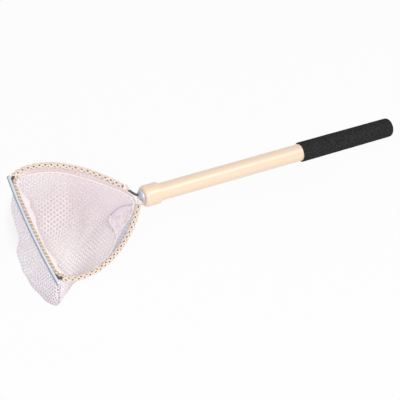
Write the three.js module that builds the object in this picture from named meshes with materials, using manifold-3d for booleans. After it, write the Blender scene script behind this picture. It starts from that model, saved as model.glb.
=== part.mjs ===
// A hand-held bait net: a wooden handle with a foam grip, a lashed wire hoop with a steel front guard,
// and a netting bag. Millimetres, +Z up. The origin is in the middle of the grip, +X runs along the handle
// to its butt, and the hoop lies at -X, rolled about the handle so that its near side (-Y) hangs lower than
// its far side (+Y).
import * as THREE from "three";
import { mergeVertices } from "three/addons/utils/BufferGeometryUtils.js";
import Module from "manifold-3d";

// Clearances
const FIT_GAP = 0.3;
const WINDING_GAP = 0.35;

// Handle
const DOWEL_DIAMETER = 25.4;
const BARE_WOOD_LENGTH = 239;
const COLLAR_DIAMETER = 31.8;
const COLLAR_LENGTH = 25;
const NOSE_RADIUS = 5.2;
const COLLAR_BACK_RADIUS = 0.8;
const CAP_DIAMETER = 21.4;
const CAP_RIM_THICKNESS = 1.4;
const CAP_DOME = 1.4;
const CAP_FLAT_DIAMETER = 14;
const GRIP_LENGTH = 160;
const GRIP_FRONT_DIAMETER = 29.6;
const GRIP_BUTT_DIAMETER = 28.4;
const GRIP_LIP_RADIUS = 0.7;
const GRIP_END_WALL = 8;
const GRIP_END_RADIUS = 5.5;

// Hoop, in its own plane: out is the distance from the cap, wide the distance to the side
const HOOP_ROLL = THREE.MathUtils.degToRad(33.2);
const WIRE_DIAMETER = 3.7;
const LEG_DEPTH = 60;
const LEG_SPACING = 9;
const LEG_BEND_OUT = 8;
const LEG_BEND_WIDE = 6.2;
const SHOULDER_ANGLE = THREE.MathUtils.degToRad(56.5);
const SHOULDER_PULL = 38;
const HOOP_HALF_WIDTH = 90.8;
const WIDEST_OUT = 134;
const SIDE_PULL = 54;
const HOOP_DEPTH = 173.5;
const FRONT_BOW = 4;
const CORNER_SIDE_PULL = 21;
const CORNER_FRONT_PULL = 14;
const FRONT_HALF_STRAIGHT = 70;

// Guard over the front of the hoop
const GUARD_LENGTH = 178;
const GUARD_OFFSET = -3.5;
const GUARD_WALL = 0.7;
const GUARD_FLANGE = 1;

// Twine and cord
const TWINE_DIAMETER = 2;
const LASHING_PITCH = 5.3;
const LASHING_KNOT_GAP = 4;
const LASHING_FRONT_CLEAR = 12.5;
const KNOT_LENGTH = 8;
const KNOT_DIAMETER = 8.4;
const FAR_KNOT_OUT = 14.5;
const NEAR_KNOT_OUT = 6;
const KNOT_SHOULDER = 0.8;
const HEAD_CORD_WIDTH = 4.6;
const HEAD_CORD_THICKNESS = 2.6;
const HEAD_CORD_LENGTH = 134;

// Netting
const MOUTH_REAR_OUT = 10;
const HEM_GAP = 0.8;
const HEM_HEIGHT = 12;
const HEM_THICKNESS = 1.4;
const HEM_THREAD_DIAMETER = 1.1;
const HEM_THREAD_DROP = 9;
const NET_THICKNESS = 1.2;
const NET_BAR_WIDTH = 2.6;
const NET_HEM_GAP = 0.8;
const BAG_CENTRE_OUT = 112;
const BAG_FRONT_DROP = 113;
const BAG_FRONT_SWING = 11;
const BAG_SIDE_TILT = 0.45;
const BAG_SIDE_RADIUS = 227;
const BAG_FLOOR_SLOPE = 0.9;
const BAG_STEEP_DROP = 60;
const BAG_LEAST_DROP = 9;
const BAG_SOFTNESS = 8;
const BAG_WALL_SQUARENESS = 0.16;

// Facets
const ROUND_SIDES = 36;
const KNOT_SIDES = 14;
const KNOT_STEPS = 8;
const CAP_DOME_STEPS = 4;
const EDGE_STEPS = 5;
const WIRE_SIDES = 10;
const WIRE_STEPS = { bend: 6, side: 20, corner: 10 };
const CURL_STEPS = 8;
const CURL_SIDES = 5;
const FRONT_STEPS = 8;
const GUARD_BEND_STEPS = 8;
const MOUTH_SIDE_STEPS = 14;
const MOUTH_STEPS = 64;
const BAG_OPENINGS_AROUND = 20;
const BAG_OPENING_ROWS = 5;
const OPENING_STEPS = 3;
const MERIDIAN_SAMPLES = 80;

// Places along the handle
const buttX = GRIP_LENGTH / 2;
const gripFrontX = -GRIP_LENGTH / 2;
const collarBackX = gripFrontX - BARE_WOOD_LENGTH;
const woodFrontX = collarBackX - COLLAR_LENGTH;
const capBackX = woodFrontX - FIT_GAP;
const capFrontX = capBackX - CAP_RIM_THICKNESS - CAP_DOME;
const dowelBackX = buttX - GRIP_END_WALL - FIT_GAP;
const wireRadius = WIRE_DIAMETER / 2;
const twineRadius = TWINE_DIAMETER / 2;
const windingRadius = wireRadius + WINDING_GAP + twineRadius;
const thickest = Math.max(windingRadius + twineRadius, KNOT_DIAMETER / 2);
const hemClear = thickest + HEM_GAP;

const wasm = await Module();
wasm.setup();

// A BufferGeometry from points and triangles, turned so that its faces point out.
function closedGeometry(points, triangles) {
  const index = [...triangles];
  let volume = 0;
  for (let i = 0; i < index.length; i += 3) {
    const [a, b, c] = [points[index[i]], points[index[i + 1]], points[index[i + 2]]];
    volume += a.dot(new THREE.Vector3().crossVectors(b, c));
  }
  if (volume < 0) index.reverse();
  const geometry = new THREE.BufferGeometry().setFromPoints(points);
  geometry.setIndex(index);
  geometry.computeVertexNormals();
  return geometry;
}

// Joins rings of equally many points: the last ring meets the first when looped, and else the ends close.
function loft(rings, looped = false) {
  const count = rings[0].length;
  const points = rings.flat();
  const triangles = [];
  const bands = looped ? rings.length : rings.length - 1;
  for (let r = 0; r < bands; r++) {
    const low = r * count;
    const high = ((r + 1) % rings.length) * count;
    for (let k = 0; k < count; k++) {
      const next = (k + 1) % count;
      triangles.push(low + k, low + next, high + next, low + k, high + next, high + k);
    }
  }
  if (looped) return closedGeometry(points, triangles);
  const last = (rings.length - 1) * count;
  for (const [start, flip] of [[0, false], [last, true]]) {
    const middle = points.length;
    const centre = new THREE.Vector3();
    for (let k = 0; k < count; k++) centre.addScaledVector(points[start + k], 1 / count);
    points.push(centre);
    for (let k = 0; k < count; k++) {
      const a = start + k;
      const b = start + ((k + 1) % count);
      triangles.push(...(flip ? [a, b, middle] : [b, a, middle]));
    }
  }
  return closedGeometry(points, triangles);
}

// An ellipse of points round a centre, in the plane of the two given directions.
function ring(centre, across, along, acrossRadius, alongRadius, sides) {
  const points = [];
  for (let k = 0; k < sides; k++) {
    const angle = (k / sides) * 2 * Math.PI;
    const point = centre.clone().addScaledVector(across, acrossRadius * Math.cos(angle));
    points.push(point.addScaledVector(along, alongRadius * Math.sin(angle)));
  }
  return points;
}

// A lathed piece whose axis is X, from a closed outline of [x, radius] points.
function turned(outline, sides = ROUND_SIDES) {
  const profile = [...outline, outline[0]].map(([x, radius]) => new THREE.Vector2(radius, x));
  const geometry = new THREE.LatheGeometry(profile, sides);
  geometry.rotateZ(-Math.PI / 2);
  return reclosed(geometry);
}

// A rounded edge of a turned outline, at the end x and the radius that meet there. The rest of the piece lies
// towards +X of a front end, side 1, and towards -X of a back end, side -1.
function rounded(x, radius, size, side) {
  const points = Array.from({ length: EDGE_STEPS + 1 }, (_, i) => {
    const angle = ((i / EDGE_STEPS) * Math.PI) / 2;
    return [x + side * size * (1 - Math.cos(angle)), radius - size * (1 - Math.sin(angle))];
  });
  return side > 0 ? points : points.reverse();
}

// The same geometry with shared vertices merged and its faces pointing out.
function reclosed(geometry) {
  geometry.deleteAttribute("normal");
  geometry.deleteAttribute("uv");
  const merged = mergeVertices(geometry, 1e-4);
  const position = merged.getAttribute("position");
  const points = Array.from({ length: position.count }, (_, i) =>
    new THREE.Vector3().fromBufferAttribute(position, i),
  );
  const triangles = [];
  for (let i = 0; i < merged.index.count; i += 3) {
    const [a, b, c] = [0, 1, 2].map((k) => merged.index.getX(i + k));
    if (a !== b && b !== c && c !== a) triangles.push(a, b, c);
  }
  return closedGeometry(points, triangles);
}

function toSolid(geometry) {
  const closed = reclosed(geometry);
  return new wasm.Manifold(
    new wasm.Mesh({
      numProp: 3,
      vertProperties: new Float32Array(closed.getAttribute("position").array),
      triVerts: new Uint32Array(closed.index.array),
    }),
  );
}

function cut(geometry, tools) {
  let solid = toSolid(geometry);
  for (const tool of tools) solid = solid.subtract(toSolid(tool));
  const mesh = solid.getMesh();
  const result = new THREE.BufferGeometry();
  result.setAttribute("position", new THREE.BufferAttribute(new Float32Array(mesh.vertProperties), 3));
  result.setIndex(new THREE.BufferAttribute(new Uint32Array(mesh.triVerts), 1));
  result.computeVertexNormals();
  return result;
}

// A round cutter along X at both legs of the hoop.
function legBores(fromX, toX) {
  return [-1, 1].map((side) => {
    const radius = wireRadius + FIT_GAP;
    const bore = new THREE.CylinderGeometry(radius, radius, toX - fromX, WIRE_SIDES * 2);
    bore.rotateZ(Math.PI / 2);
    bore.translate((fromX + toX) / 2, (side * LEG_SPACING) / 2, 0);
    bore.rotateX(HOOP_ROLL);
    return bore;
  });
}

// A point on the bowed front of the hoop, and how far inboard of the wire it lies.
function frontPoint(wide, inboard = 0) {
  return new THREE.Vector3(inboard - frontOut(wide), wide, 0);
}

// How far out the bowed front of the hoop lies, at a distance to the side.
function frontOut(wide) {
  return HOOP_DEPTH - FRONT_BOW * Math.pow(wide / (GUARD_LENGTH / 2), 2);
}

// Half of the hoop's centreline, from the cap to the start of its front, on the side +1 or -1.
function halfHoop(side) {
  const at = (out, wide) => new THREE.Vector3(-out, side * wide, 0);
  const leg = LEG_SPACING / 2;
  const shoulder = at(LEG_BEND_OUT, leg + LEG_BEND_WIDE);
  const bendBack = LEG_BEND_WIDE / Math.tan(SHOULDER_ANGLE);
  const path = new THREE.CurvePath();
  path.add(new THREE.QuadraticBezierCurve3(at(0, leg), at(LEG_BEND_OUT - bendBack, leg), shoulder));
  path.add(
    new THREE.CubicBezierCurve3(
      shoulder,
      at(
        LEG_BEND_OUT + SHOULDER_PULL * Math.cos(SHOULDER_ANGLE),
        leg + LEG_BEND_WIDE + SHOULDER_PULL * Math.sin(SHOULDER_ANGLE),
      ),
      at(WIDEST_OUT - SIDE_PULL, HOOP_HALF_WIDTH),
      at(WIDEST_OUT, HOOP_HALF_WIDTH),
    ),
  );
  path.add(
    new THREE.CubicBezierCurve3(
      at(WIDEST_OUT, HOOP_HALF_WIDTH),
      at(WIDEST_OUT + CORNER_SIDE_PULL, HOOP_HALF_WIDTH),
      at(frontOut(FRONT_HALF_STRAIGHT + CORNER_FRONT_PULL), FRONT_HALF_STRAIGHT + CORNER_FRONT_PULL),
      at(frontOut(FRONT_HALF_STRAIGHT), FRONT_HALF_STRAIGHT),
    ),
  );
  return path;
}

// The share of a half hoop's length at which it is a given distance out from the cap.
function shareAtOut(path, out) {
  let [low, high] = [0, 1];
  for (let i = 0; i < 40; i++) {
    const middle = (low + high) / 2;
    if (-path.getPoint(middle).x < out) low = middle;
    else high = middle;
  }
  return (low + high) / 2;
}

const UP = new THREE.Vector3(0, 0, 1);

// A round tube along flat points, with its rings square to the path.
function flatTube(points, radius, sides) {
  const rings = points.map((point, i) => {
    const before = points[Math.max(i - 1, 0)];
    const after = points[Math.min(i + 1, points.length - 1)];
    const along = after.clone().sub(before).normalize();
    const across = new THREE.Vector3().crossVectors(UP, along);
    return ring(point, across, UP, radius, radius, sides);
  });
  return loft(rings);
}

function hoopWire() {
  const steps = Object.values(WIRE_STEPS);
  const half = (side) =>
    halfHoop(side).curves.flatMap((curve, i) => curve.getPoints(steps[i]).slice(i === 0 ? 0 : 1));
  const legEnd = (side) => new THREE.Vector3(LEG_DEPTH, (side * LEG_SPACING) / 2, 0);
  const front = [0.5, 0, -0.5].map((share) => frontPoint(share * FRONT_HALF_STRAIGHT));
  const points = [legEnd(1), ...half(1), ...front, ...half(-1).reverse(), legEnd(-1)];
  return flatTube(points, wireRadius, WIRE_SIDES);
}

// The winding on one side of the hoop, from its knot to the front corner: one unbroken tube, with straight
// ends one twine diameter long.
function lashing(side, knotOut) {
  const path = halfHoop(side);
  const knotEnd = (KNOT_LENGTH / 2 + LASHING_KNOT_GAP) / path.getLength();
  const start = shareAtOut(path, knotOut) + knotEnd;
  const end = shareAtOut(path, HOOP_DEPTH - LASHING_FRONT_CLEAR);
  const length = (end - start) * path.getLength();
  const curls = Math.round(length / LASHING_PITCH);
  const steps = curls * CURL_STEPS;
  const points = [];
  for (let i = 0; i <= steps; i++) {
    const share = start + ((end - start) * i) / steps;
    const along = path.getTangent(share);
    const across = new THREE.Vector3().crossVectors(UP, along);
    const turn = (i / CURL_STEPS) * 2 * Math.PI;
    const point = path.getPoint(share).addScaledVector(across, windingRadius * Math.cos(turn));
    points.push(point.addScaledVector(UP, windingRadius * Math.sin(turn)));
  }
  const runOut = (from, to) => {
    const onward = to.clone().sub(from).normalize();
    return to.clone().addScaledVector(onward, TWINE_DIAMETER);
  };
  points.unshift(runOut(points[1], points[0]));
  points.push(runOut(points[points.length - 2], points[points.length - 1]));
  let gap = Infinity;
  points.forEach((a, i) => {
    for (const b of points.slice(i + CURL_STEPS / 2)) gap = Math.min(gap, a.distanceTo(b));
  });
  console.log(`winding of ${curls} curls, least gap to itself ${(gap - TWINE_DIAMETER).toFixed(2)} mm`);
  const rings = points.map((point, i) => {
    const before = points[Math.max(i - 1, 0)];
    const after = points[Math.min(i + 1, points.length - 1)];
    const along = after.clone().sub(before).normalize();
    const nearby = THREE.MathUtils.clamp((i - 1) / steps, 0, 1);
    const outward = point.clone().sub(path.getPoint(start + (end - start) * nearby));
    const across = outward.addScaledVector(along, -outward.dot(along)).normalize();
    const sideways = new THREE.Vector3().crossVectors(along, across);
    return ring(point, across, sideways, twineRadius, twineRadius, CURL_SIDES);
  });
  return loft(rings);
}

// A tied knot: a swollen ring round the wire near the cap, which follows the wire's bend.
function knot(side, knotOut) {
  const path = halfHoop(side);
  const middle = shareAtOut(path, knotOut);
  const bore = wireRadius + WINDING_GAP;
  const swell = KNOT_DIAMETER / 2 - bore - KNOT_SHOULDER;
  const inner = [];
  const outer = [];
  for (let i = 0; i <= KNOT_STEPS; i++) {
    const angle = (i / KNOT_STEPS) * Math.PI;
    const along = (KNOT_LENGTH / 2) * Math.cos(angle);
    inner.push([along, bore]);
    outer.push([along, bore + KNOT_SHOULDER + swell * Math.sin(angle)]);
  }
  const outline = [...inner, ...outer.reverse()];
  const rings = Array.from({ length: KNOT_SIDES }, (_, k) => {
    const angle = (k / KNOT_SIDES) * 2 * Math.PI;
    return outline.map(([along, radius]) => {
      const share = middle + along / path.getLength();
      const across = new THREE.Vector3().crossVectors(UP, path.getTangent(share));
      const point = path.getPoint(share).addScaledVector(across, radius * Math.cos(angle));
      return point.addScaledVector(UP, radius * Math.sin(angle));
    });
  });
  return loft(rings, true);
}

// A channel that holds the front of the wire and is open towards the bag.
function frontGuard() {
  const inner = wireRadius + FIT_GAP;
  const outer = inner + GUARD_WALL;
  const bend = (radius, from, to) =>
    Array.from({ length: GUARD_BEND_STEPS + 1 }, (_, i) => {
      const angle = from + ((to - from) * i) / GUARD_BEND_STEPS;
      return [-radius * Math.cos(angle), radius * Math.sin(angle)];
    });
  const section = [
    [GUARD_FLANGE, outer],
    ...bend(outer, Math.PI / 2, -Math.PI / 2),
    [GUARD_FLANGE, -outer],
    [GUARD_FLANGE, -inner],
    ...bend(inner, -Math.PI / 2, Math.PI / 2),
    [GUARD_FLANGE, inner],
  ];
  const outline = new THREE.Shape(section.map(([inboard, high]) => new THREE.Vector2(inboard, high)));
  const geometry = new THREE.ExtrudeGeometry(outline, {
    depth: GUARD_LENGTH,
    steps: FRONT_STEPS,
    bevelEnabled: false,
  });
  const position = geometry.getAttribute("position");
  for (let i = 0; i < position.count; i++) {
    const wide = GUARD_OFFSET + GUARD_LENGTH / 2 - position.getZ(i);
    const point = frontPoint(wide, position.getX(i));
    position.setXYZ(i, point.x, point.y, position.getY(i));
  }
  return reclosed(geometry);
}

const headCordInboard = Math.max(GUARD_FLANGE, wireRadius) + FIT_GAP + HEAD_CORD_WIDTH / 2;

function frontHeadCord() {
  const across = new THREE.Vector3(1, 0, 0);
  const rings = Array.from({ length: FRONT_STEPS + 1 }, (_, i) => {
    const centre = frontPoint(HEAD_CORD_LENGTH * (i / FRONT_STEPS - 0.5), headCordInboard);
    return ring(centre, across, UP, HEAD_CORD_WIDTH / 2, HEAD_CORD_THICKNESS / 2, WIRE_SIDES);
  });
  return loft(rings);
}

// The mouth of the bag in the hoop's plane: along both sides of the wire, and across the rear and the front.
function mouthOutline() {
  const sideRun = (side) => {
    const path = halfHoop(side);
    const cornerOut = frontOut(FRONT_HALF_STRAIGHT) - headCordInboard;
    const [start, end] = [MOUTH_REAR_OUT, cornerOut].map((out) => shareAtOut(path, out));
    return Array.from({ length: MOUTH_SIDE_STEPS + 1 }, (_, i) =>
      path.getPoint(start + ((end - start) * i) / MOUTH_SIDE_STEPS),
    );
  };
  const far = sideRun(1);
  const near = sideRun(-1).reverse();
  const frontWide = far[far.length - 1].y;
  const front = [0.6, 0.2, -0.2, -0.6].map((share) => frontPoint(frontWide * share, headCordInboard));
  const rear = new THREE.Vector3(-MOUTH_REAR_OUT, 0, 0);
  return new THREE.CatmullRomCurve3([...far, ...front, ...near, rear], true, "centripetal");
}

const mouthLoop = mouthOutline();

// A point of the mouth, from 0 to 1 for once round it.
const mouthAt = (turn) => mouthLoop.getPointAt(THREE.MathUtils.euclideanModulo(turn, 1));

// A point of the hoop's plane in the part's frame, before anything drops from it.
function inPart(out, wide) {
  return new THREE.Vector3(capFrontX - out, wide * Math.cos(HOOP_ROLL), wide * Math.sin(HOOP_ROLL));
}

// How far the bag's floor hangs below the hoop's plane: deepest at the front, rising to the handle.
function floorDrop(out, wide) {
  const front = BAG_FRONT_DROP + BAG_SIDE_TILT * wide - (wide * wide) / (2 * BAG_SIDE_RADIUS);
  const drop = front - BAG_FLOOR_SLOPE * (HOOP_DEPTH - out);
  return BAG_LEAST_DROP + BAG_SOFTNESS * Math.log1p(Math.exp(drop / BAG_SOFTNESS));
}

// One line of the netting from a point of the mouth down to the middle of the floor. Where the bag is deep
// it hangs straight down first, and where it is shallow it runs inwards.
function meridian(turnRound) {
  const mouth = mouthAt(turnRound);
  const steep = Math.min(floorDrop(-mouth.x, mouth.y) / BAG_STEEP_DROP, 1);
  const centre = inPart(BAG_CENTRE_OUT, 0);
  const lean = (steep * Math.PI) / 2;
  const start = inPart(-mouth.x, mouth.y);
  const leaving = centre.clone().sub(start).setZ(0).normalize().multiplyScalar(Math.cos(lean));
  leaving.addScaledVector(UP, -Math.sin(lean));
  const [before, after] = [-1, 1].map((step) => mouthAt(turnRound + step / MOUTH_STEPS));
  const along = inPart(-after.x, after.y).sub(inPart(-before.x, before.y)).normalize();
  const square = Math.sqrt(1 - Math.pow(leaving.dot(along), 2));
  start.addScaledVector(leaving, hemClear / square);
  const points = [];
  for (let i = 0; i <= MERIDIAN_SAMPLES; i++) {
    const share = i / MERIDIAN_SAMPLES;
    const turn = (share * Math.PI) / 2;
    const boxy = i < MERIDIAN_SAMPLES ? Math.pow(Math.cos(turn), BAG_WALL_SQUARENESS) : 0;
    const reach = THREE.MathUtils.lerp(1 - share, boxy, steep);
    const sink = THREE.MathUtils.lerp(1 - Math.pow(1 - share, 2), Math.sin(turn), steep);
    const point = centre.clone().lerp(start, reach);
    const wide = point.y / Math.cos(HOOP_ROLL);
    const floor = wide * Math.sin(HOOP_ROLL) - floorDrop(capFrontX - point.x, wide);
    const forward = Math.max(0, (centre.x - point.x) / (HOOP_DEPTH - BAG_CENTRE_OUT));
    point.setZ(THREE.MathUtils.lerp(start.z, floor, sink));
    points.push(point.setX(point.x - BAG_FRONT_SWING * forward * sink));
  }
  return points;
}

// The point at a given length along a line of points.
function pointAlong(points, length) {
  let left = length;
  for (let i = 1; i < points.length; i++) {
    const step = points[i].distanceTo(points[i - 1]);
    if (left <= step) return points[i - 1].clone().lerp(points[i], left / step);
    left -= step;
  }
  return points[points.length - 1].clone();
}

const lineLength = (points) =>
  points.reduce((sum, point, i) => (i ? sum + point.distanceTo(points[i - 1]) : 0), 0);

const meridians = Array.from({ length: MOUTH_STEPS }, (_, k) => meridian(k / MOUTH_STEPS));

// Rows of points round the bag at lengths down the netting, given by a function of each line's whole length.
const netRow = (lengthOf) => meridians.map((line) => pointAlong(line, lengthOf(lineLength(line))));

// Directions into the bag, square to a row and to the step from the row above to the row below.
function inward(row, above, below) {
  return row.map((_, k) => {
    const around = row[(k + 1) % row.length].clone().sub(row[(k + row.length - 1) % row.length]);
    const down = below[k].clone().sub(above[k]);
    return new THREE.Vector3().crossVectors(around, down).normalize();
  });
}

const shifted = (row, directions, distance) =>
  row.map((point, k) => point.clone().addScaledVector(directions[k], distance));

const hemTop = netRow(() => 0);
const hemBottom = netRow(() => HEM_HEIGHT);
const hemInto = inward(hemTop, hemTop, hemBottom);

function netHem() {
  const inside = [hemBottom, hemTop].map((row) => shifted(row, hemInto, HEM_THICKNESS));
  const rows = [hemTop, hemBottom, ...inside];
  return loft(hemTop.map((_, k) => rows.map((row) => row[k])), true);
}

// The stitching runs round the inner face of the hem.
function hemThread() {
  const radius = HEM_THREAD_DIAMETER / 2;
  const line = hemTop.map((point, k) => point.clone().lerp(hemBottom[k], HEM_THREAD_DROP / HEM_HEIGHT));
  const centres = shifted(line, hemInto, HEM_THICKNESS + FIT_GAP + radius);
  const rings = centres.map((centre, k) => {
    const down = hemBottom[k].clone().sub(hemTop[k]).normalize();
    return ring(centre, hemInto[k], down, radius, radius, CURL_SIDES);
  });
  return loft(rings, true);
}

// A sheet of cells with a thickness, walled along its edges. A cell lists its corners in order, by number.
function thickSheet(outer, inner, cells) {
  const count = outer.length;
  const triangles = [];
  const face = (corners) => {
    for (let i = 1; i + 1 < corners.length; i++) triangles.push(corners[0], corners[i], corners[i + 1]);
  };
  const sides = (cell) => cell.map((a, i) => [a, cell[(i + 1) % cell.length]]);
  const shared = new Set(cells.flatMap(sides).map(([a, b]) => `${a} ${b}`));
  for (const cell of cells) {
    face(cell);
    face(cell.map((a) => a + count).reverse());
    for (const [a, b] of sides(cell)) {
      if (!shared.has(`${b} ${a}`)) face([b, a, a + count, b + count]);
    }
  }
  return reclosed(closedGeometry([...outer, ...inner], triangles));
}

// The bag below its hem, as a coarse net: bars down and round it, with openings between them and a closed
// middle to its floor. Each opening has lines of points across it both ways, so that the bars follow the bag.
function netBag() {
  const start = HEM_HEIGHT + NET_HEM_GAP;
  const steps = Array.from({ length: OPENING_STEPS }, (_, i) => i / OPENING_STEPS);
  const bands = BAG_OPENING_ROWS + 1;
  const places = Array.from({ length: BAG_OPENING_ROWS }, (_, band) => [
    { share: band / bands, beyond: 0 },
    ...steps.map((step) => ({ share: (band + step) / bands, beyond: NET_BAR_WIDTH * (1 - step) })),
  ]).flat();
  places.push({ share: BAG_OPENING_ROWS / bands, beyond: 0 });
  const netPoint = (turn, { share, beyond }) => {
    const line = meridian(turn);
    return pointAlong(line, start + (lineLength(line) - start) * share + beyond);
  };
  const sector = 1 / BAG_OPENINGS_AROUND;
  const halfBar = (turn, place) => {
    const [before, after] = [-1, 1].map((side) => netPoint(turn + (side * sector) / 4, place));
    return (NET_BAR_WIDTH / before.distanceTo(after)) * (sector / 4);
  };
  const outerRows = places.map((place) =>
    Array.from({ length: BAG_OPENINGS_AROUND }, (_, k) => {
      const [from, to] = [k * sector + halfBar(k * sector, place), (k + 1) * sector];
      const open = to - halfBar(to, place) - from;
      const turns = [k * sector - halfBar(k * sector, place), ...steps.map((step) => from + open * step)];
      return turns.map((turn) => netPoint(turn, place));
    }).flat(),
  );
  const floor = meridians[0][MERIDIAN_SAMPLES].clone();
  const innerRows = outerRows.map((row, r) => {
    const above = outerRows[Math.max(r - 1, 0)];
    const below = outerRows[r + 1] ?? row.map(() => floor);
    return shifted(row, inward(row, above, below), NET_THICKNESS);
  });
  const period = OPENING_STEPS + 1;
  const columns = period * BAG_OPENINGS_AROUND;
  const cells = [];
  for (let r = 0; r + 1 < outerRows.length; r++) {
    for (let k = 0; k < columns; k++) {
      const [a, b] = [r * columns + k, r * columns + ((k + 1) % columns)];
      if (r % period === 0 || k % period === 0) cells.push([a, b, b + columns, a + columns]);
    }
  }
  const last = (outerRows.length - 1) * columns;
  for (let k = 0; k < columns; k++) cells.push([last + k, last + ((k + 1) % columns), last + columns]);
  const outer = [...outerRows.flat(), floor];
  const inner = [...innerRows.flat(), floor.clone().addScaledVector(UP, NET_THICKNESS)];
  return thickSheet(outer, inner, cells);
}

// The wood's front edge is rounded over the dowel and the collar alike: its outline between two radii.
function nose(fromRadius, toRadius) {
  const middle = COLLAR_DIAMETER / 2 - NOSE_RADIUS;
  const angleAt = (radius) => Math.asin(THREE.MathUtils.clamp((radius - middle) / NOSE_RADIUS, 0, 1));
  const [from, to] = [angleAt(fromRadius), angleAt(toRadius)];
  return Array.from({ length: EDGE_STEPS + 1 }, (_, i) => {
    const angle = from + ((to - from) * i) / EDGE_STEPS;
    return [woodFrontX + NOSE_RADIUS * (1 - Math.cos(angle)), middle + NOSE_RADIUS * Math.sin(angle)];
  });
}

function handleDowel() {
  const radius = DOWEL_DIAMETER / 2;
  const rod = turned([[woodFrontX, 0], ...nose(0, radius), [dowelBackX, radius], [dowelBackX, 0]]);
  return cut(rod, legBores(woodFrontX - FIT_GAP, capFrontX + LEG_DEPTH + FIT_GAP));
}

function headCollar() {
  const inner = DOWEL_DIAMETER / 2 + FIT_GAP;
  const outer = COLLAR_DIAMETER / 2;
  return turned([
    ...nose(inner, outer),
    ...rounded(collarBackX, outer, COLLAR_BACK_RADIUS, -1),
    [collarBackX, inner],
  ]);
}

// A pressed cap with a low dome towards the hoop.
function frontCap() {
  const radius = CAP_DIAMETER / 2;
  const rimX = capBackX - CAP_RIM_THICKNESS;
  const flat = CAP_FLAT_DIAMETER / 2;
  const dome = Array.from({ length: CAP_DOME_STEPS + 1 }, (_, i) => {
    const angle = ((i / CAP_DOME_STEPS) * Math.PI) / 2;
    return [rimX - CAP_DOME * Math.sin(angle), flat + (radius - flat) * Math.cos(angle)];
  });
  const plate = turned([[capBackX, 0], [capBackX, radius], ...dome, [capFrontX, 0]]);
  return cut(plate, legBores(capFrontX - FIT_GAP, capBackX + FIT_GAP));
}

// A sleeve that tapers a little and closes over the end of the rod.
function foamGrip() {
  const bore = DOWEL_DIAMETER / 2 + FIT_GAP;
  const front = GRIP_FRONT_DIAMETER / 2;
  const butt = GRIP_BUTT_DIAMETER / 2;
  return turned([
    [gripFrontX, bore],
    ...rounded(gripFrontX, front, GRIP_LIP_RADIUS, 1),
    ...rounded(buttX, butt, GRIP_END_RADIUS, -1),
    [buttX, 0],
    [dowelBackX + FIT_GAP, 0],
    [dowelBackX + FIT_GAP, bore],
  ]);
}

const finish = (color, roughness, metalness) =>
  new THREE.MeshStandardMaterial({ color, roughness, metalness, side: THREE.DoubleSide });
const wood = finish("#f2dcc0", 0.35, 0);
const foam = finish("#2c2c2d", 0.9, 0);
const steel = finish("#a9abb2", 0.35, 0.9);
const darkWire = finish("#4b4644", 0.45, 0.8);
const twine = finish("#e8c996", 0.8, 0);
const thread = finish("#c79a5b", 0.8, 0);
const hem = finish("#e9d9cf", 0.8, 0);
const netting = finish("#ddd6e2", 0.6, 0);

const net = new THREE.Group();
const hoop = new THREE.Group();
hoop.position.set(capFrontX, 0, 0);
hoop.rotation.x = HOOP_ROLL;
net.add(hoop);

function add(group, name, geometry, material) {
  const mesh = new THREE.Mesh(geometry, material);
  mesh.name = name;
  group.add(mesh);
}

add(net, "handle_dowel", handleDowel(), wood);
add(net, "head_collar", headCollar(), wood);
add(net, "front_cap", frontCap(), steel);
add(net, "foam_grip", foamGrip(), foam);
add(hoop, "hoop_wire", hoopWire(), darkWire);
add(hoop, "front_guard", frontGuard(), steel);
add(hoop, "far_lashing", lashing(1, FAR_KNOT_OUT), twine);
add(hoop, "near_lashing", lashing(-1, NEAR_KNOT_OUT), twine);
add(hoop, "far_knot", knot(1, FAR_KNOT_OUT), twine);
add(hoop, "near_knot", knot(-1, NEAR_KNOT_OUT), twine);
add(hoop, "front_head_cord", frontHeadCord(), twine);
add(net, "net_hem", netHem(), hem);
add(net, "hem_thread", hemThread(), thread);
add(net, "net_bag", netBag(), netting);

export default net;
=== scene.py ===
# %% [markdown]
# # A hand-held bait net
#
# This lesson dresses a bait net: a pale wooden handle with a foam sleeve, a wire hoop lashed with twine, a
# steel guard across the front of the hoop, and a bag of knotless netting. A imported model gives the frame:
# it has every piece at its real size and place, but plain. Each visible piece below is made again in the
# same place, with the detail that the real one shows, and rides on the frame's one body.

import math

import bmesh
import bpy
import numpy as np
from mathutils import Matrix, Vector, geometry, noise
from mathutils.bvhtree import BVHTree


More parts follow.
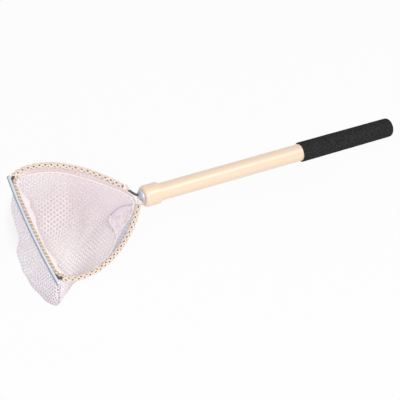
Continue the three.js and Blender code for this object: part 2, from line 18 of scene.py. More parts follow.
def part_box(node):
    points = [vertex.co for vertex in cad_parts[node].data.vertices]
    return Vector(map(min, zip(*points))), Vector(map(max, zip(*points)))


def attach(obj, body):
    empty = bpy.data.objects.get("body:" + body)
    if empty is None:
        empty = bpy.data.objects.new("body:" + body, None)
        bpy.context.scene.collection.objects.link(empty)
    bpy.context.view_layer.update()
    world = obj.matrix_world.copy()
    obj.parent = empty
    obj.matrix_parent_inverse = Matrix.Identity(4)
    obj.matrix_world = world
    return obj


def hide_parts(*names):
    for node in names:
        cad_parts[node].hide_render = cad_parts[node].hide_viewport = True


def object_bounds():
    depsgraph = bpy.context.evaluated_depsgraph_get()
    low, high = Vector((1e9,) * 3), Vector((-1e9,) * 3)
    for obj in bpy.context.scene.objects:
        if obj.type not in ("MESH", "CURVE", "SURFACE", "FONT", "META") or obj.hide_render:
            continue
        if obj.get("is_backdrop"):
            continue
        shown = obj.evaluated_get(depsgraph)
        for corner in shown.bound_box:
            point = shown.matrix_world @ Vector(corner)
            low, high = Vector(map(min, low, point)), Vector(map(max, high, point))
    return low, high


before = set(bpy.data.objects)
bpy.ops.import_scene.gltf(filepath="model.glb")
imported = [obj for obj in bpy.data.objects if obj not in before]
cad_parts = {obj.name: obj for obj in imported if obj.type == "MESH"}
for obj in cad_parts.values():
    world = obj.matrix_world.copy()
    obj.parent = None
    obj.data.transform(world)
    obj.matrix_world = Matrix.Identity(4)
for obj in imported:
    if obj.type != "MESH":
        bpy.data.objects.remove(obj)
cad_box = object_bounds()
print("frame:", ", ".join(sorted(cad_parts)))

# %% [markdown]
# ## Sizes that everything shares
#
# Lengths are in metres, so a size in millimetres is written as a number times MM. What can be read from the
# frame is read from it, such as where the cap's face is. The hoop lies in a plane of its own, rolled about
# the handle. A place in that plane is given by two distances: out from the cap, and wide to the side.

# %% Sizes and the hoop's plane
MM = 0.001
FULL_TURN = 2 * math.pi
cap_low, cap_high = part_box("front_cap")
_, collar_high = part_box("head_collar")
dowel_low, dowel_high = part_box("handle_dowel")
grip_low, grip_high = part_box("foam_grip")
HOOP_X = cap_low.x
HOOP_ROLL = math.radians(33.2)
UP = np.array([0.0, 0.0, 1.0])
HOOP_NORMAL = np.array([0.0, -math.sin(HOOP_ROLL), math.cos(HOOP_ROLL)])
SIDEWAYS = np.array([0.0, math.cos(HOOP_ROLL), math.sin(HOOP_ROLL)])


def in_part(out, wide, high=0.0):
    """Points of the hoop's plane, or high above it, in the part's frame."""
    out, wide, high = (np.asarray(value, float)[..., None] for value in (out, wide, high))
    start = np.array([HOOP_X, 0.0, 0.0])
    return start - out * np.array([1.0, 0.0, 0.0]) + wide * SIDEWAYS + high * HOOP_NORMAL


def unit(vectors):
    return vectors / np.linalg.norm(vectors, axis=-1, keepdims=True)


print("cap face at x =", round(HOOP_X, 4), "m, hoop rolled by", round(math.degrees(HOOP_ROLL), 1), "degrees")

# %% [markdown]
# ## The camera
#
# The photograph was taken from the hoop's side of the net, a little above it, with a long lens. The lens is
# given in pixels, as the distance to the picture plane, because that is what can be measured in a picture
# that has no camera data. The camera is aimed so that the middle of the cap falls on its own pixel.

# %% Camera
IMAGE_PIXELS = 400
FOCAL_PIXELS = 2115
SENSOR_WIDTH = 36
CAMERA_DISTANCE = 3.0
AZIMUTH = math.radians(-29.95)
ELEVATION = math.radians(30)
CAP_PIXEL = (140.2, 197.5)


def direction(azimuth, elevation):
    """From the object towards a viewer: azimuth 0 is a viewer at -Y."""
    level = math.cos(elevation)
    return Vector((math.sin(azimuth) * level, -math.cos(azimuth) * level, math.sin(elevation)))


def add_camera():
    to_camera = direction(AZIMUTH, ELEVATION)
    right = Vector((math.cos(AZIMUTH), math.sin(AZIMUTH), 0))
    above = to_camera.cross(right)
    metres_per_pixel = CAMERA_DISTANCE / FOCAL_PIXELS
    aim = Vector((HOOP_X, 0, 0))
    aim += right * (IMAGE_PIXELS / 2 - CAP_PIXEL[0]) * metres_per_pixel
    aim -= above * (IMAGE_PIXELS / 2 - CAP_PIXEL[1]) * metres_per_pixel
    lens = bpy.data.cameras.new("camera")
    lens.sensor_width = SENSOR_WIDTH
    lens.lens = FOCAL_PIXELS / IMAGE_PIXELS * SENSOR_WIDTH
    camera = bpy.data.objects.new("camera", lens)
    camera.location = aim + to_camera * CAMERA_DISTANCE
    camera.rotation_euler = (-to_camera).to_track_quat("-Z", "Y").to_euler()
    bpy.context.scene.collection.objects.link(camera)
    bpy.context.scene.camera = camera
    return aim


aim = add_camera()
bpy.context.scene.view_settings.view_transform = "Standard"
print("camera aims at", [round(value, 3) for value in aim])

# %% [markdown]
# ## Finishes as Python expressions
#
# A finish is a tree of shader nodes. Wiring nodes by hand hides the maths, so two small classes let the
# maths be written as it is read. A Signal is the output of a node, and adding or multiplying signals adds
# Math nodes. A Finish is a material with one method that adds any other node.

# %% Shader signals
class Signal:
    """The output of a shader node. Sums and products of signals add Math nodes."""

    def __init__(self, finish, socket):
        self.finish = finish
        self.socket = socket

    def math(self, operation, left, right=0.0):
        return self.finish.node("ShaderNodeMath", {"operation": operation}, {0: left, 1: right})

    def __add__(self, other):
        return self.math("ADD", self, other)

    __radd__ = __add__

    def __mul__(self, other):
        return self.math("MULTIPLY", self, other)

    __rmul__ = __mul__

    def __sub__(self, other):
        return self.math("SUBTRACT", self, other)

    def __rsub__(self, other):
        return self.math("SUBTRACT", other, self)

    def __pow__(self, power):
        return self.math("POWER", self, power)

    def sine(self):
        return self.math("SINE", self)

    def at_least(self, other):
        return self.math("MAXIMUM", self, other)

    def spread(self, contrast):
        """Values stretched about one half, so that soft noise reaches both of its colours."""
        return self * contrast - (contrast - 1) / 2


print("signals ready")

# %% [markdown]
# ## The finish class
#
# Its methods give what the finishes below share: the place of a point on the surface, soft noise, small
# cells, a mix of two colours, a ramp and a bump. Noise takes its scale in patches to the metre, so the same
# number looks the same on every piece. Many small pieces need no more than one cloudy finish.

# %% Finish class
NOISE_ROUGHNESS = 0.55


class Finish:
    """A material whose Principled shader takes constants directly and everything else from nodes."""

    def __init__(self, name, **constants):
        self.material = bpy.data.materials.new(name)
        self.material.use_nodes = True
        self.tree = self.material.node_tree
        self.shader = self.tree.nodes["Principled BSDF"]
        self.set(**constants)

    def node(self, kind, settings=None, sockets=None, output=0):
        node = self.tree.nodes.new(kind)
        for key, value in (settings or {}).items():
            if key == "stops":
                set_stops(node.color_ramp, value)
            else:
                setattr(node, key, value)
        for key, value in (sockets or {}).items():
            self.link(node.inputs[key], value)
        return Signal(self, node.outputs[output])

    def link(self, socket, value):
        if isinstance(value, Signal):
            self.tree.links.new(value.socket, socket)
        elif isinstance(value, tuple) and socket.type == "RGBA":
            socket.default_value = (*value, 1.0)
        else:
            socket.default_value = value

    def set(self, **sockets):
        for name, value in sockets.items():
            self.link(self.shader.inputs[name.replace("_", " ").title().replace("Ior", "IOR")], value)

    def place(self, scale=1.0):
        """Where a point of the surface is, in metres times a scale, or times one scale for each axis."""
        place = self.node("ShaderNodeTexCoord", output="Object")
        scales = scale if isinstance(scale, tuple) else (scale, scale, scale)
        return self.node("ShaderNodeVectorMath", {"operation": "MULTIPLY"}, {0: place, 1: scales})

    def axes(self, names):
        """Where a point of the surface is, as one signal in metres for each axis that is named."""
        return [self.node("ShaderNodeSeparateXYZ", {}, {0: self.place()}, name) for name in names]

    def noise(self, scale, detail=3.0):
        sockets = {"Vector": self.place(scale), "Scale": 1.0, "Detail": detail, "Roughness": NOISE_ROUGHNESS}
        return self.node("ShaderNodeTexNoise", {}, sockets)

    def cells(self, scale):
        """The distance to the middle of the nearest of many small cells."""
        return self.node("ShaderNodeTexVoronoi", {}, {"Vector": self.place(scale), "Scale": 1.0})

    def mix(self, share, low, high):
        """A colour between two colours."""
        settings = {"data_type": "RGBA", "clamp_factor": True}
        return self.node("ShaderNodeMix", settings, {0: share, 6: low, 7: high}, output=2)

    def ramp(self, value, *stops):
        """Turns a value into grey or colour by its stops."""
        return self.node("ShaderNodeValToRGB", {"stops": stops}, {0: value})

    def bump(self, height, depth, strength):
        sockets = {"Height": height, "Distance": depth, "Strength": strength}
        return self.node("ShaderNodeBump", {}, sockets)


print("finish class ready")

# %% Colours and a cloudy finish
def set_stops(ramp, stops):
    """Gives a colour ramp its stops, each a position and a grey level or colour."""
    while len(ramp.elements) < len(stops):
        ramp.elements.new(0.5)
    for element, (position, colour) in zip(ramp.elements, stops):
        element.position = position
        element.color = (*colour, 1.0) if isinstance(colour, tuple) else (colour, colour, colour, 1.0)


def srgb(red, green, blue):
    """A colour as it looks on a screen, from 0 to 255, in the shader's linear values."""
    shares = (red / 255, green / 255, blue / 255)
    return tuple(s / 12.92 if s <= 0.04045 else ((s + 0.055) / 1.055) ** 2.4 for s in shares)


def cloudy_finish(name, scale, dark, light, rough, contrast=1.0, detail=3.0, **constants):
    """A plain finish that wanders between two colours. Rough is its least roughness and what is added."""
    finish = Finish(name, **constants)
    cloud = finish.noise(scale, detail)
    least, added = rough
    finish.set(base_color=finish.mix(cloud.spread(contrast), dark, light), roughness=cloud * added + least)
    return finish


print("half of white on a screen is", round(srgb(128, 128, 128)[0], 3), "to the shader")

# %% [markdown]
# ## Floor, backdrop and light
#
# The object is shown on plain white, as in a catalogue. The floor is a white plane just under the bag. To
# the camera it gives most of its light by itself, so it looks white, and the rest is lit, so the object's
# shadow still falls on it. The main lamp is large and stands behind the camera, so the netting's shadow lies
# behind the netting. In a soft patch there the floor glows less and keeps more of the shadow, and its colour
# is painted a darker rose as a painted shadow, so the holes look darker than the strands.

# %% Floor
FLOOR_GAP = 2 * MM
FLOOR_SIZE = 8.0
WHITE_LIGHT = 1.0
FLOOR_GLOW = 0.94
FLOOR_TINT = (0.95, 0.95, 0.95)
SHADOW_GLOW = 0.25
# the floor's colour in the patch: a painted rose shadow of the netting
SHADOW_TINT = (0.93, 0.82, 0.83)
SHADOW_MIDDLE = (-0.391, 0.182, 0.0)
SHADOW_HALF = (86 * MM, 165 * MM)
SHADOW_SOFTNESS = 1.5


def seen_directly(finish):
    """1 for rays that come from the camera, from a mirror-like surface or through glass."""
    names = ("Is Camera Ray", "Is Glossy Ray", "Is Transmission Ray")
    camera, mirror, glass = (finish.node("ShaderNodeLightPath", output=name) for name in names)
    return camera.at_least(mirror).at_least(glass)


def shadow_patch(finish):
    """1 in the middle of the netting's shadow on the floor, and 0 outside it."""
    sockets = {0: finish.place(), 1: SHADOW_MIDDLE}
    away = finish.node("ShaderNodeVectorMath", {"operation": "SUBTRACT"}, sockets)
    across = (math.cos(AZIMUTH), math.sin(AZIMUTH), 0)
    along = (-across[1], across[0], 0)
    inside = 1
    for line, half in zip((across, along), SHADOW_HALF):
        sockets = {0: away, 1: tuple(value / half for value in line)}
        share = finish.node("ShaderNodeVectorMath", {"operation": "DOT_PRODUCT"}, sockets, "Value")
        inside = inside - share * share
    return inside.at_least(0.0) ** SHADOW_SOFTNESS


def add_floor(low):
    half = FLOOR_SIZE / 2
    corners = [(x * half, y * half, low) for x, y in ((-1, -1), (1, -1), (1, 1), (-1, 1))]
    mesh = bpy.data.meshes.new("floor")
    mesh.from_pydata(corners, [], [(0, 1, 2, 3)])
    floor = bpy.data.objects.new("floor", mesh)
    bpy.context.scene.collection.objects.link(floor)
    finish = Finish("floor_white", roughness=0.9)
    patch = shadow_patch(finish)
    # painted shadow: the floor's colour turns darker rose inside the patch
    finish.set(base_color=finish.mix(patch, FLOOR_TINT, SHADOW_TINT))
    glow = finish.node("ShaderNodeEmission", {}, {"Strength": WHITE_LIGHT})
    share = seen_directly(finish) * (FLOOR_GLOW - patch * (FLOOR_GLOW - SHADOW_GLOW))
    lit = Signal(finish, finish.shader.outputs[0])
    mixed = finish.node("ShaderNodeMixShader", {}, {0: share, 1: lit, 2: glow})
    finish.link(finish.tree.nodes["Material Output"].inputs["Surface"], mixed)
    mesh.materials.append(finish.material)
    floor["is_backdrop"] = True


floor_z = cad_box[0][2] - FLOOR_GAP
add_floor(floor_z)
print("floor at z =", round(floor_z, 4), "m")

# %% World and lamps
WORLD_LIGHT = 0.4
WORLD_TINT = (0.97, 0.98, 1.0)
LAMPS = {
    "key": dict(azimuth=-30, elevation=33, distance=3.4, size=0.9, watts=57.0),
    "fill": dict(azimuth=34, elevation=45, distance=2.4, size=0.8, watts=11.0),
}


class Sky(Finish):
    """The world's nodes, written in the same way as a finish."""

    def __init__(self, name):
        self.world = bpy.data.worlds.new(name)
        self.world.use_nodes = True
        self.tree = self.world.node_tree


def add_world():
    sky = Sky("studio")
    bpy.context.scene.world = sky.world
    ambient = sky.node("ShaderNodeBackground", {}, {"Color": WORLD_TINT, "Strength": WORLD_LIGHT})
    white = sky.node("ShaderNodeBackground", {}, {"Color": (1.0, 1.0, 1.0), "Strength": WHITE_LIGHT})
    mixed = sky.node("ShaderNodeMixShader", {}, {0: seen_directly(sky), 1: ambient, 2: white})
    sky.link(sky.tree.nodes["World Output"].inputs["Surface"], mixed)


def add_lamp(name, azimuth, elevation, distance, size, watts):
    data = bpy.data.lights.new(name, "AREA")
    data.size = size
    data.energy = watts
    lamp = bpy.data.objects.new(name, data)
    towards = direction(math.radians(azimuth), math.radians(elevation))
    lamp.location = aim + towards * distance
    lamp.rotation_euler = (-towards).to_track_quat("-Z", "Y").to_euler()
    bpy.context.scene.collection.objects.link(lamp)


add_world()
for name, sizes in LAMPS.items():
    add_lamp(name, **sizes)
print("a white world and", len(LAMPS), "lamps")

# %% [markdown]
# ## Building meshes from rings
#
# Nearly everything here is a ring of points carried along a line: a rod, a wire, a strand of twine, the
# channel of the guard. One class collects such rings into a mesh and turns it into a piece.

# %% Pieces from rings
class Shell:
    """Collects rings of points into one mesh."""

    def __init__(self):
        self.points = []
        self.faces = []
        self.count = 0

    def add(self, rings, looped=False, open_rings=False):
        """Joins rings in their order. Looped rings meet end to end, and else their ends are closed."""
        rings = np.asarray(rings)
        rows, around, _ = rings.shape
        grid = self.count + np.arange(rows * around).reshape(rows, around)
        self.points.append(rings.reshape(-1, 3))
        self.count += rows * around
        if not looped and not open_rings:
            self.faces += [grid[0][::-1].tolist(), grid[-1].tolist()]
        if looped:
            grid = np.vstack([grid, grid[:1]])
        if not open_rings:
            grid = np.hstack([grid, grid[:, :1]])
        quads = np.stack([grid[:-1, :-1], grid[:-1, 1:], grid[1:, 1:], grid[1:, :-1]], axis=-1)
        self.faces += quads.reshape(-1, 4).tolist()
        return self

    def piece(self, name, finish, slot, *nodes):
        mesh = bpy.data.meshes.new(name)
        mesh.from_pydata(np.concatenate(self.points).tolist(), [], self.faces)
        work = bmesh.new()
        work.from_mesh(mesh)
        bmesh.ops.recalc_face_normals(work, faces=work.faces)
        work.to_mesh(mesh)
        work.free()
        return mesh_piece(mesh, name, finish, slot, *nodes)


def mesh_piece(mesh, name, finish, slot, *nodes):
    """A smooth piece that rides on the body, wears a finish and stands for the frame's nodes."""
    mesh.shade_smooth()
    piece = bpy.data.objects.new(name, mesh)
    bpy.context.scene.collection.objects.link(piece)
    mesh.materials.append(finish.material)
    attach(piece, "root")
    if nodes:
        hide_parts(*nodes)
    print(name, "has", len(mesh.polygons), "faces")
    return piece


print("rings can be joined into pieces")

# %% [markdown]
# ## Walking along lines
#
# A wire's middle or a hem's edge is a line of points. It is walked by its length, so that turns of twine and
# stitches come out evenly. A tube needs two directions square to its line at every point. They are carried
# along from ring to ring, so that they twist as little as they can.

# %% Lines and tubes
BLUNT_START = 0.35
WANDER_ROW = 0.5


class Track:
    """A line of points that is walked by its length."""

    def __init__(self, points):
        self.points = np.asarray(points, float)
        steps = np.linalg.norm(np.diff(self.points, axis=0), axis=1)
        self.marks = np.concatenate([[0.0], np.cumsum(steps)])
        self.length = self.marks[-1]

    def at(self, distance):
        return np.stack([np.interp(distance, self.marks, line) for line in self.points.T], axis=-1)

    def heading(self, distance, reach=0.4 * MM):
        ahead = np.minimum(distance + reach, self.length)
        behind = np.maximum(distance - reach, 0.0)
        return unit(self.at(ahead) - self.at(behind))


def closed(line):
    """A line that ends at its first point."""
    return np.concatenate([line, line[:1]])


def square_to(headings):
    """Directions square to headings in the hoop's plane."""
    return np.stack([headings[:, 1], -headings[:, 0]], axis=-1)


def ring_angles(sides):
    return np.linspace(0, FULL_TURN, sides, endpoint=False)


def frames_along(points):
    """Directions along a line of points and two directions square to it that twist as little as they can."""
    along = unit(np.gradient(points, axis=0))
    least = np.eye(3)[np.argmin(np.abs(along[0]))]
    side = np.cross(along[0], least)
    sides = []
    for direction_here in along:
        side = side - direction_here * side.dot(direction_here)
        side = side / np.linalg.norm(side)
        sides.append(side)
    sides = np.array(sides)
    return along, sides, np.cross(along, sides)


def tube_rings(points, radius, sides=8):
    """Rings of a round tube along points, with a radius that may change along it."""
    _, across, over = frames_along(points)
    angles = ring_angles(sides)
    radius = np.broadcast_to(radius, len(points))[:, None, None]
    turned = across[:, None] * np.cos(angles)[:, None] + over[:, None] * np.sin(angles)[:, None]
    return points[:, None] + radius * turned


def blunt_ends(count, radius, taper=3):
    """A tube's radius along its length, drawn in over the last few rings so that its ends look rounded."""
    from_end = np.minimum(np.arange(count), np.arange(count)[::-1])
    share = np.clip((from_end + BLUNT_START) / taper, 0, 1)
    return radius * np.sqrt(1 - (1 - share) ** 2)


def wander(places, size, seed):
    """Smooth random values from about -1 to 1 along a line, the same in each run."""
    return np.array([noise.noise(Vector((place / size, seed, WANDER_ROW))) for place in places])


print("lines and tubes ready")

# %% [markdown]
# ## The wooden handle
#
# The handle is a plain dowel of pale varnished wood, with a thicker collar at the hoop's end. Wood could be
# a photo texture, but a formula has no seams and no edges: a board's growth rings are cylinders round a
# far-off centre of the tree, so the distance to that centre, bent a little by noise, gives the long lines of
# the grain. Fine streaks along the handle and a clear coat finish it.

# %% Turned shapes
ROUND_SIDES = 96
EDGE_STEPS = 6
AXIS_HOLE = 0.5 * MM


def lathe(outline):
    """Rings of a piece turned about the handle's axis, from its outline of x and radius."""
    angles = ring_angles(ROUND_SIDES)
    x, radius = np.array(outline).T
    rings = np.zeros((len(x), ROUND_SIDES, 3))
    rings[..., 0] = x[:, None]
    rings[..., 1] = radius[:, None] * np.cos(angles)
    rings[..., 2] = radius[:, None] * np.sin(angles)
    return rings


def rounded(x, radius, size, side):
    """A rounded edge where the end at x meets the radius. Side 1 is a front end and -1 a back end."""
    angles = np.linspace(0, math.pi / 2, EDGE_STEPS + 1)
    edge = [(x + side * size * (1 - math.cos(a)), radius - size * (1 - math.sin(a))) for a in angles]
    return edge if side > 0 else edge[::-1]


print("turned pieces have", ROUND_SIDES, "sides")

# %% Wood
NOSE_RADIUS = 5.2 * MM
NOSE_STEPS = 10
DOWEL_EDGE = 0.6 * MM
DOWEL_RINGS = 12
COLLAR_EDGE = 0.9 * MM
COLLAR_CLEAR = 0.05 * MM
TREE_MIDDLE = (21 * MM, -34 * MM)
TREE_SLANT = (0.018, -0.011)
RING_BEND = 6 * MM
RING_RADIANS = 2600


def wood_finish():
    finish = Finish("varnished_wood", coat_weight=1.0, coat_roughness=0.3)
    x, y, z = finish.axes("XYZ")
    drift = finish.noise((9, 40, 40), detail=2)
    tree_y = y - TREE_MIDDLE[0] + x * TREE_SLANT[0] + drift * RING_BEND
    tree_z = z - TREE_MIDDLE[1] + x * TREE_SLANT[1]
    ring = (tree_y**2 + tree_z**2) ** 0.5
    lines = (ring * RING_RADIANS).sine() * 0.5 + 0.5
    streak = finish.noise((16, 900, 900), detail=4)
    broad = finish.noise((5, 70, 70), detail=2)
    tone = lines**2 * 0.12 + streak * 0.4 + broad * 0.4
    pale, honey = srgb(251, 226, 200), srgb(243, 211, 180)
    finish.set(
        base_color=finish.mix(tone * 1.4 - 0.3, pale, honey),
        roughness=streak * 0.14 + 0.28,
        normal=finish.bump(streak, 0.03 * MM, 0.4),
    )
    return finish


def nose(low, high):
    """The rounding of the wood's front between two radii, over the rod and the collar alike."""
    middle = collar_high.z - NOSE_RADIUS
    rise = np.clip((np.array([low, high]) - middle) / NOSE_RADIUS, 0, 1)
    angles = np.linspace(*np.arcsin(rise), NOSE_STEPS)
    x = dowel_low.x + NOSE_RADIUS * (1 - np.cos(angles))
    return list(zip(x, middle + NOSE_RADIUS * np.sin(angles)))


def add_handle(finish):
    radius = dowel_high.z
    straight = np.linspace(dowel_low.x + 2 * DOWEL_EDGE, dowel_high.x - 2 * DOWEL_EDGE, DOWEL_RINGS)
    rod = [(dowel_low.x, AXIS_HOLE), *nose(0, radius)]
    rod += [(x, radius) for x in straight]
    rod += [*rounded(dowel_high.x, radius, DOWEL_EDGE, -1), (dowel_high.x, AXIS_HOLE)]
    Shell().add(lathe(rod)).piece("wood_handle", finish, "wood", "handle_dowel")
    outer, inner = collar_high.z, dowel_high.z + COLLAR_CLEAR
    back = rounded(collar_high.x, outer, COLLAR_EDGE, -1)
    collar = [*nose(inner, outer), *back, (collar_high.x, inner)]
    Shell().add(lathe(collar), looped=True).piece("wood_collar", finish, "wood", "head_collar")


add_handle(wood_finish())

# %% [markdown]
# ## The cap
#
# A pressed metal cap closes the front of the handle, and the two legs of the hoop pass through it. It is a
# lathed dome with a short rim. Fine circles round its middle come from the pressing, as a slight bump.

# %% Cap
CAP_RIM = 1.4 * MM
CAP_DOME = 3.6 * MM
CAP_EDGE = 0.3 * MM
CAP_RINGS = 14
CAP_LAST_ANGLE = math.pi / 2 - 0.04
CIRCLE_RADIANS = 9000


def cap_finish():
    finish = Finish("pressed_metal", metallic=0.55)
    y, z = finish.axes("YZ")
    ring = (y**2 + z**2) ** 0.5
    cloud = finish.noise(180, detail=4)
    finish.set(
        base_color=finish.mix(cloud, srgb(186, 190, 208), srgb(218, 220, 232)),
        roughness=cloud * 0.22 + 0.3,
        normal=finish.bump((ring * CIRCLE_RADIANS).sine(), 0.02 * MM, 0.4),
    )
    return finish


def add_cap(finish):
    radius = cap_high.z
    rim_x = cap_high.x - CAP_RIM
    angles = np.linspace(0, CAP_LAST_ANGLE, CAP_RINGS)
    dome = [(rim_x - CAP_DOME * math.sin(a), radius * math.cos(a)) for a in angles]
    back = [(cap_high.x, AXIS_HOLE), *rounded(cap_high.x, radius, CAP_EDGE, -1)[::-1]]
    Shell().add(lathe([*back, *dome])).piece("end_cap", finish, "cap_metal", "front_cap")


add_cap(cap_finish())

# %% [markdown]
# ## The foam grip
#
# The sleeve is closed-cell foam: matt, black and full of pores, with a soft rounded end. Pores are small
# dents, so they are a bump from a cell texture. The sleeve itself is not quite even, because foam is cut
# soft, so its radius wanders by a fraction of a millimetre.

# %% Foam sleeve
GRIP_BUTT_RADIUS = 14.2 * MM
GRIP_END_RADIUS = 5.5 * MM
GRIP_LIP_RADIUS = 1.4 * MM
GRIP_BULGE = ((0.15 * MM, 4 * MM), (0.2 * MM, 0.4 * MM))
GRIP_CLEAR = 0.1 * MM
GRIP_STRAIGHT_FROM = 2 * MM
GRIP_STRAIGHT_SHORT = 1 * MM
GRIP_EVEN_RINGS = 3
GRIP_RINGS = 60
FOAM_UNEVEN = 0.12 * MM
FOAM_LUMPS = 90


def foam_finish():
    finish = Finish("cell_foam", specular_ior_level=0.04)
    pores = finish.ramp(finish.cells(900), (0.08, 0.0), (0.5, 1.0))
    grain = finish.noise(2600, detail=2)
    speck = finish.noise(420, detail=2)
    dark, light = srgb(10, 10, 11), srgb(60, 60, 61)
    finish.set(
        base_color=finish.mix(pores * 0.4 + speck * 1.8 - 0.62, dark, light),
        roughness=grain * 0.2 + 0.7,
        normal=finish.bump(pores * 0.8 + grain * 0.3, 0.18 * MM, 0.7),
    )
    return finish


def add_foam(finish):
    front = grip_high.z
    bore = dowel_high.z + GRIP_CLEAR
    body_end = grip_high.x - GRIP_END_RADIUS - GRIP_STRAIGHT_SHORT
    body_x = np.linspace(grip_low.x + GRIP_STRAIGHT_FROM, body_end, GRIP_RINGS)
    share = (body_x - grip_low.x) / (grip_high.x - grip_low.x)
    outline = [(grip_low.x, bore), *rounded(grip_low.x, front, GRIP_LIP_RADIUS, 1)]
    outline += list(zip(body_x, front + (GRIP_BUTT_RADIUS - front) * share))
    outline += rounded(grip_high.x, GRIP_BUTT_RADIUS, GRIP_END_RADIUS, -1)
    outline += [(grip_high.x + proud, radius) for proud, radius in GRIP_BULGE]
    rings = lathe(outline)
    for row in rings[GRIP_EVEN_RINGS:-GRIP_EVEN_RINGS]:
        for point in row:
            swell = noise.noise(Vector(point) * FOAM_LUMPS) * FOAM_UNEVEN
            point[1:] *= 1 + swell / front
    sleeve = Shell().add(rings).piece("foam_sleeve", finish, "foam", "foam_grip")


add_foam(foam_finish())

# %% [markdown]
# ## The hoop's wire
#
# One steel wire makes the hoop: two legs come out of the cap, bend apart, sweep round the sides, turn two
# corners and run straight across the front. Its line is made of Bezier curves, whose end directions are easy
# to match, and a round tube follows it.

# %% The line of the wire
LEG_DEPTH = 60 * MM
LEG_SPACING = 9 * MM
LEG_BEND_OUT = 8 * MM
LEG_BEND_WIDE = 6.2 * MM
SHOULDER_ANGLE = math.radians(56.5)
SHOULDER_PULL = 38 * MM
HOOP_HALF_WIDTH = 90.8 * MM
WIDEST_OUT = 134 * MM
SIDE_PULL = 54 * MM
HOOP_DEPTH = 173.5 * MM
FRONT_BOW = 4 * MM
CORNER_SIDE_PULL = 21 * MM
CORNER_FRONT_PULL = 14 * MM
FRONT_HALF_STRAIGHT = 70 * MM
FRONT_STEPS = 40
GUARD_LENGTH = 178 * MM


def bezier(steps, *points):
    """Points along a Bezier curve of any degree."""
    share = np.linspace(0, 1, steps)[:, None]
    level = [np.asarray(point, float)[None] for point in points]
    while len(level) > 1:
        level = [a + (b - a) * share for a, b in zip(level, level[1:])]
    return level[0]


def front_out(wide):
    """How far out the bowed front of the hoop lies."""
    return HOOP_DEPTH - FRONT_BOW * (wide / (GUARD_LENGTH / 2)) ** 2


def half_hoop(side):
    """Half of the wire's line, as out and wide, from the cap to the start of its front."""
    leg = LEG_SPACING / 2
    shoulder = np.array([LEG_BEND_OUT, leg + LEG_BEND_WIDE])
    bend_out = LEG_BEND_OUT - LEG_BEND_WIDE / math.tan(SHOULDER_ANGLE)
    pull = SHOULDER_PULL * np.array([math.cos(SHOULDER_ANGLE), math.sin(SHOULDER_ANGLE)])
    widest = np.array([WIDEST_OUT, HOOP_HALF_WIDTH])
    turn_wide = FRONT_HALF_STRAIGHT + CORNER_FRONT_PULL
    turn = (front_out(turn_wide), turn_wide)
    front = (front_out(FRONT_HALF_STRAIGHT), FRONT_HALF_STRAIGHT)
    bend = bezier(20, (0, leg), (bend_out, leg), shoulder)
    sweep = bezier(90, shoulder, shoulder + pull, widest - (SIDE_PULL, 0), widest)
    corner = bezier(40, widest, widest + (CORNER_SIDE_PULL, 0), turn, front)
    return np.concatenate([bend, sweep[1:], corner[1:]]) * (1, side)


def front_line():
    """The straight part of the front, from the far side to the near side."""
    wide = np.linspace(FRONT_HALF_STRAIGHT, -FRONT_HALF_STRAIGHT, FRONT_STEPS)
    return np.stack([front_out(wide), wide], axis=-1)


FAR, NEAR = half_hoop(1), half_hoop(-1)
print("each side of the hoop is", round(Track(FAR).length, 3), "m long")

# %% Wire
WIRE_RADIUS = 1.85 * MM
WIRE_SIDES = 20


def add_wire(finish):
    legs = [np.array([[-LEG_DEPTH, side * LEG_SPACING / 2]]) for side in (1, -1)]
    line = np.concatenate([legs[0], FAR, front_line()[1:-1], NEAR[::-1], legs[1]])
    rings = tube_rings(in_part(*line.T), WIRE_RADIUS, WIRE_SIDES)
    Shell().add(rings).piece("hoop", finish, "wire", "hoop_wire")


steel_brown = srgb(62, 50, 44), srgb(104, 88, 80)
add_wire(cloudy_finish("drawn_wire", 260, *steel_brown, rough=(0.28, 0.25), detail=4, metallic=0.3))

# %% [markdown]
# ## The front guard
#
# A thin steel channel is folded over the front of the wire, so that the net can be pushed along a stony
# bottom. Its section is a U with rounded lips, carried along the bowed front and a little past both corners.
# The zinc is bright on its flanges, and along the outer fold a dark reflection is painted into its colour,
# so its finish follows the bow.

# %% Guard
GUARD_OFFSET = -3.5 * MM
GUARD_WALL = 0.7 * MM
GUARD_CLEAR = 0.3 * MM
GUARD_FLANGE = 1.0 * MM
GUARD_RINGS = 60
GUARD_BACK_STEPS = 17
GUARD_LIP_STEPS = 5
GUARD_REFLECTION_WIDTH = 2.4 * MM


def guard_finish():
    finish = Finish("zinc_steel", metallic=0.75)
    x, y = finish.axes("XY")
    wide = y * (1 / math.cos(HOOP_ROLL))
    bow = wide**2 * (FRONT_BOW / (GUARD_LENGTH / 2) ** 2)
    inboard = x - bow + (HOOP_DEPTH - HOOP_X)
    cloud = finish.noise((120, 30, 120), detail=5)
    # painted dark reflection along the outer fold of the U
    painted_dark_reflection = finish.ramp(inboard * (-1 / GUARD_REFLECTION_WIDTH) + cloud * 0.3 - 0.55, (0.25, 0.0), (0.5, 1.0))
    bright = finish.mix(cloud, srgb(196, 203, 218), srgb(228, 232, 240))
    finish.set(
        base_color=finish.mix(painted_dark_reflection, bright, srgb(152, 162, 182)),
        roughness=cloud * 0.2 + 0.26,
    )
    return finish


def guard_section():
    """The U's outline as inboard and high, out round the back of the wire and in again."""
    inner = WIRE_RADIUS + GUARD_CLEAR
    outer = inner + GUARD_WALL
    round_back = np.linspace(math.pi / 2, 3 * math.pi / 2, GUARD_BACK_STEPS)
    outside = [(outer * math.cos(a), outer * math.sin(a)) for a in round_back]
    inside = [(inner * math.cos(a), inner * math.sin(a)) for a in round_back[::-1]]
    lip = GUARD_WALL / 2
    lip_angles = np.linspace(-math.pi / 2, math.pi / 2, GUARD_LIP_STEPS)
    lips = [
        [(GUARD_FLANGE + lip * math.cos(a), middle + lip * math.sin(a)) for a in lip_angles]
        for middle in (-(inner + lip), inner + lip)
    ]
    return np.array(outside + lips[0] + inside + lips[1])


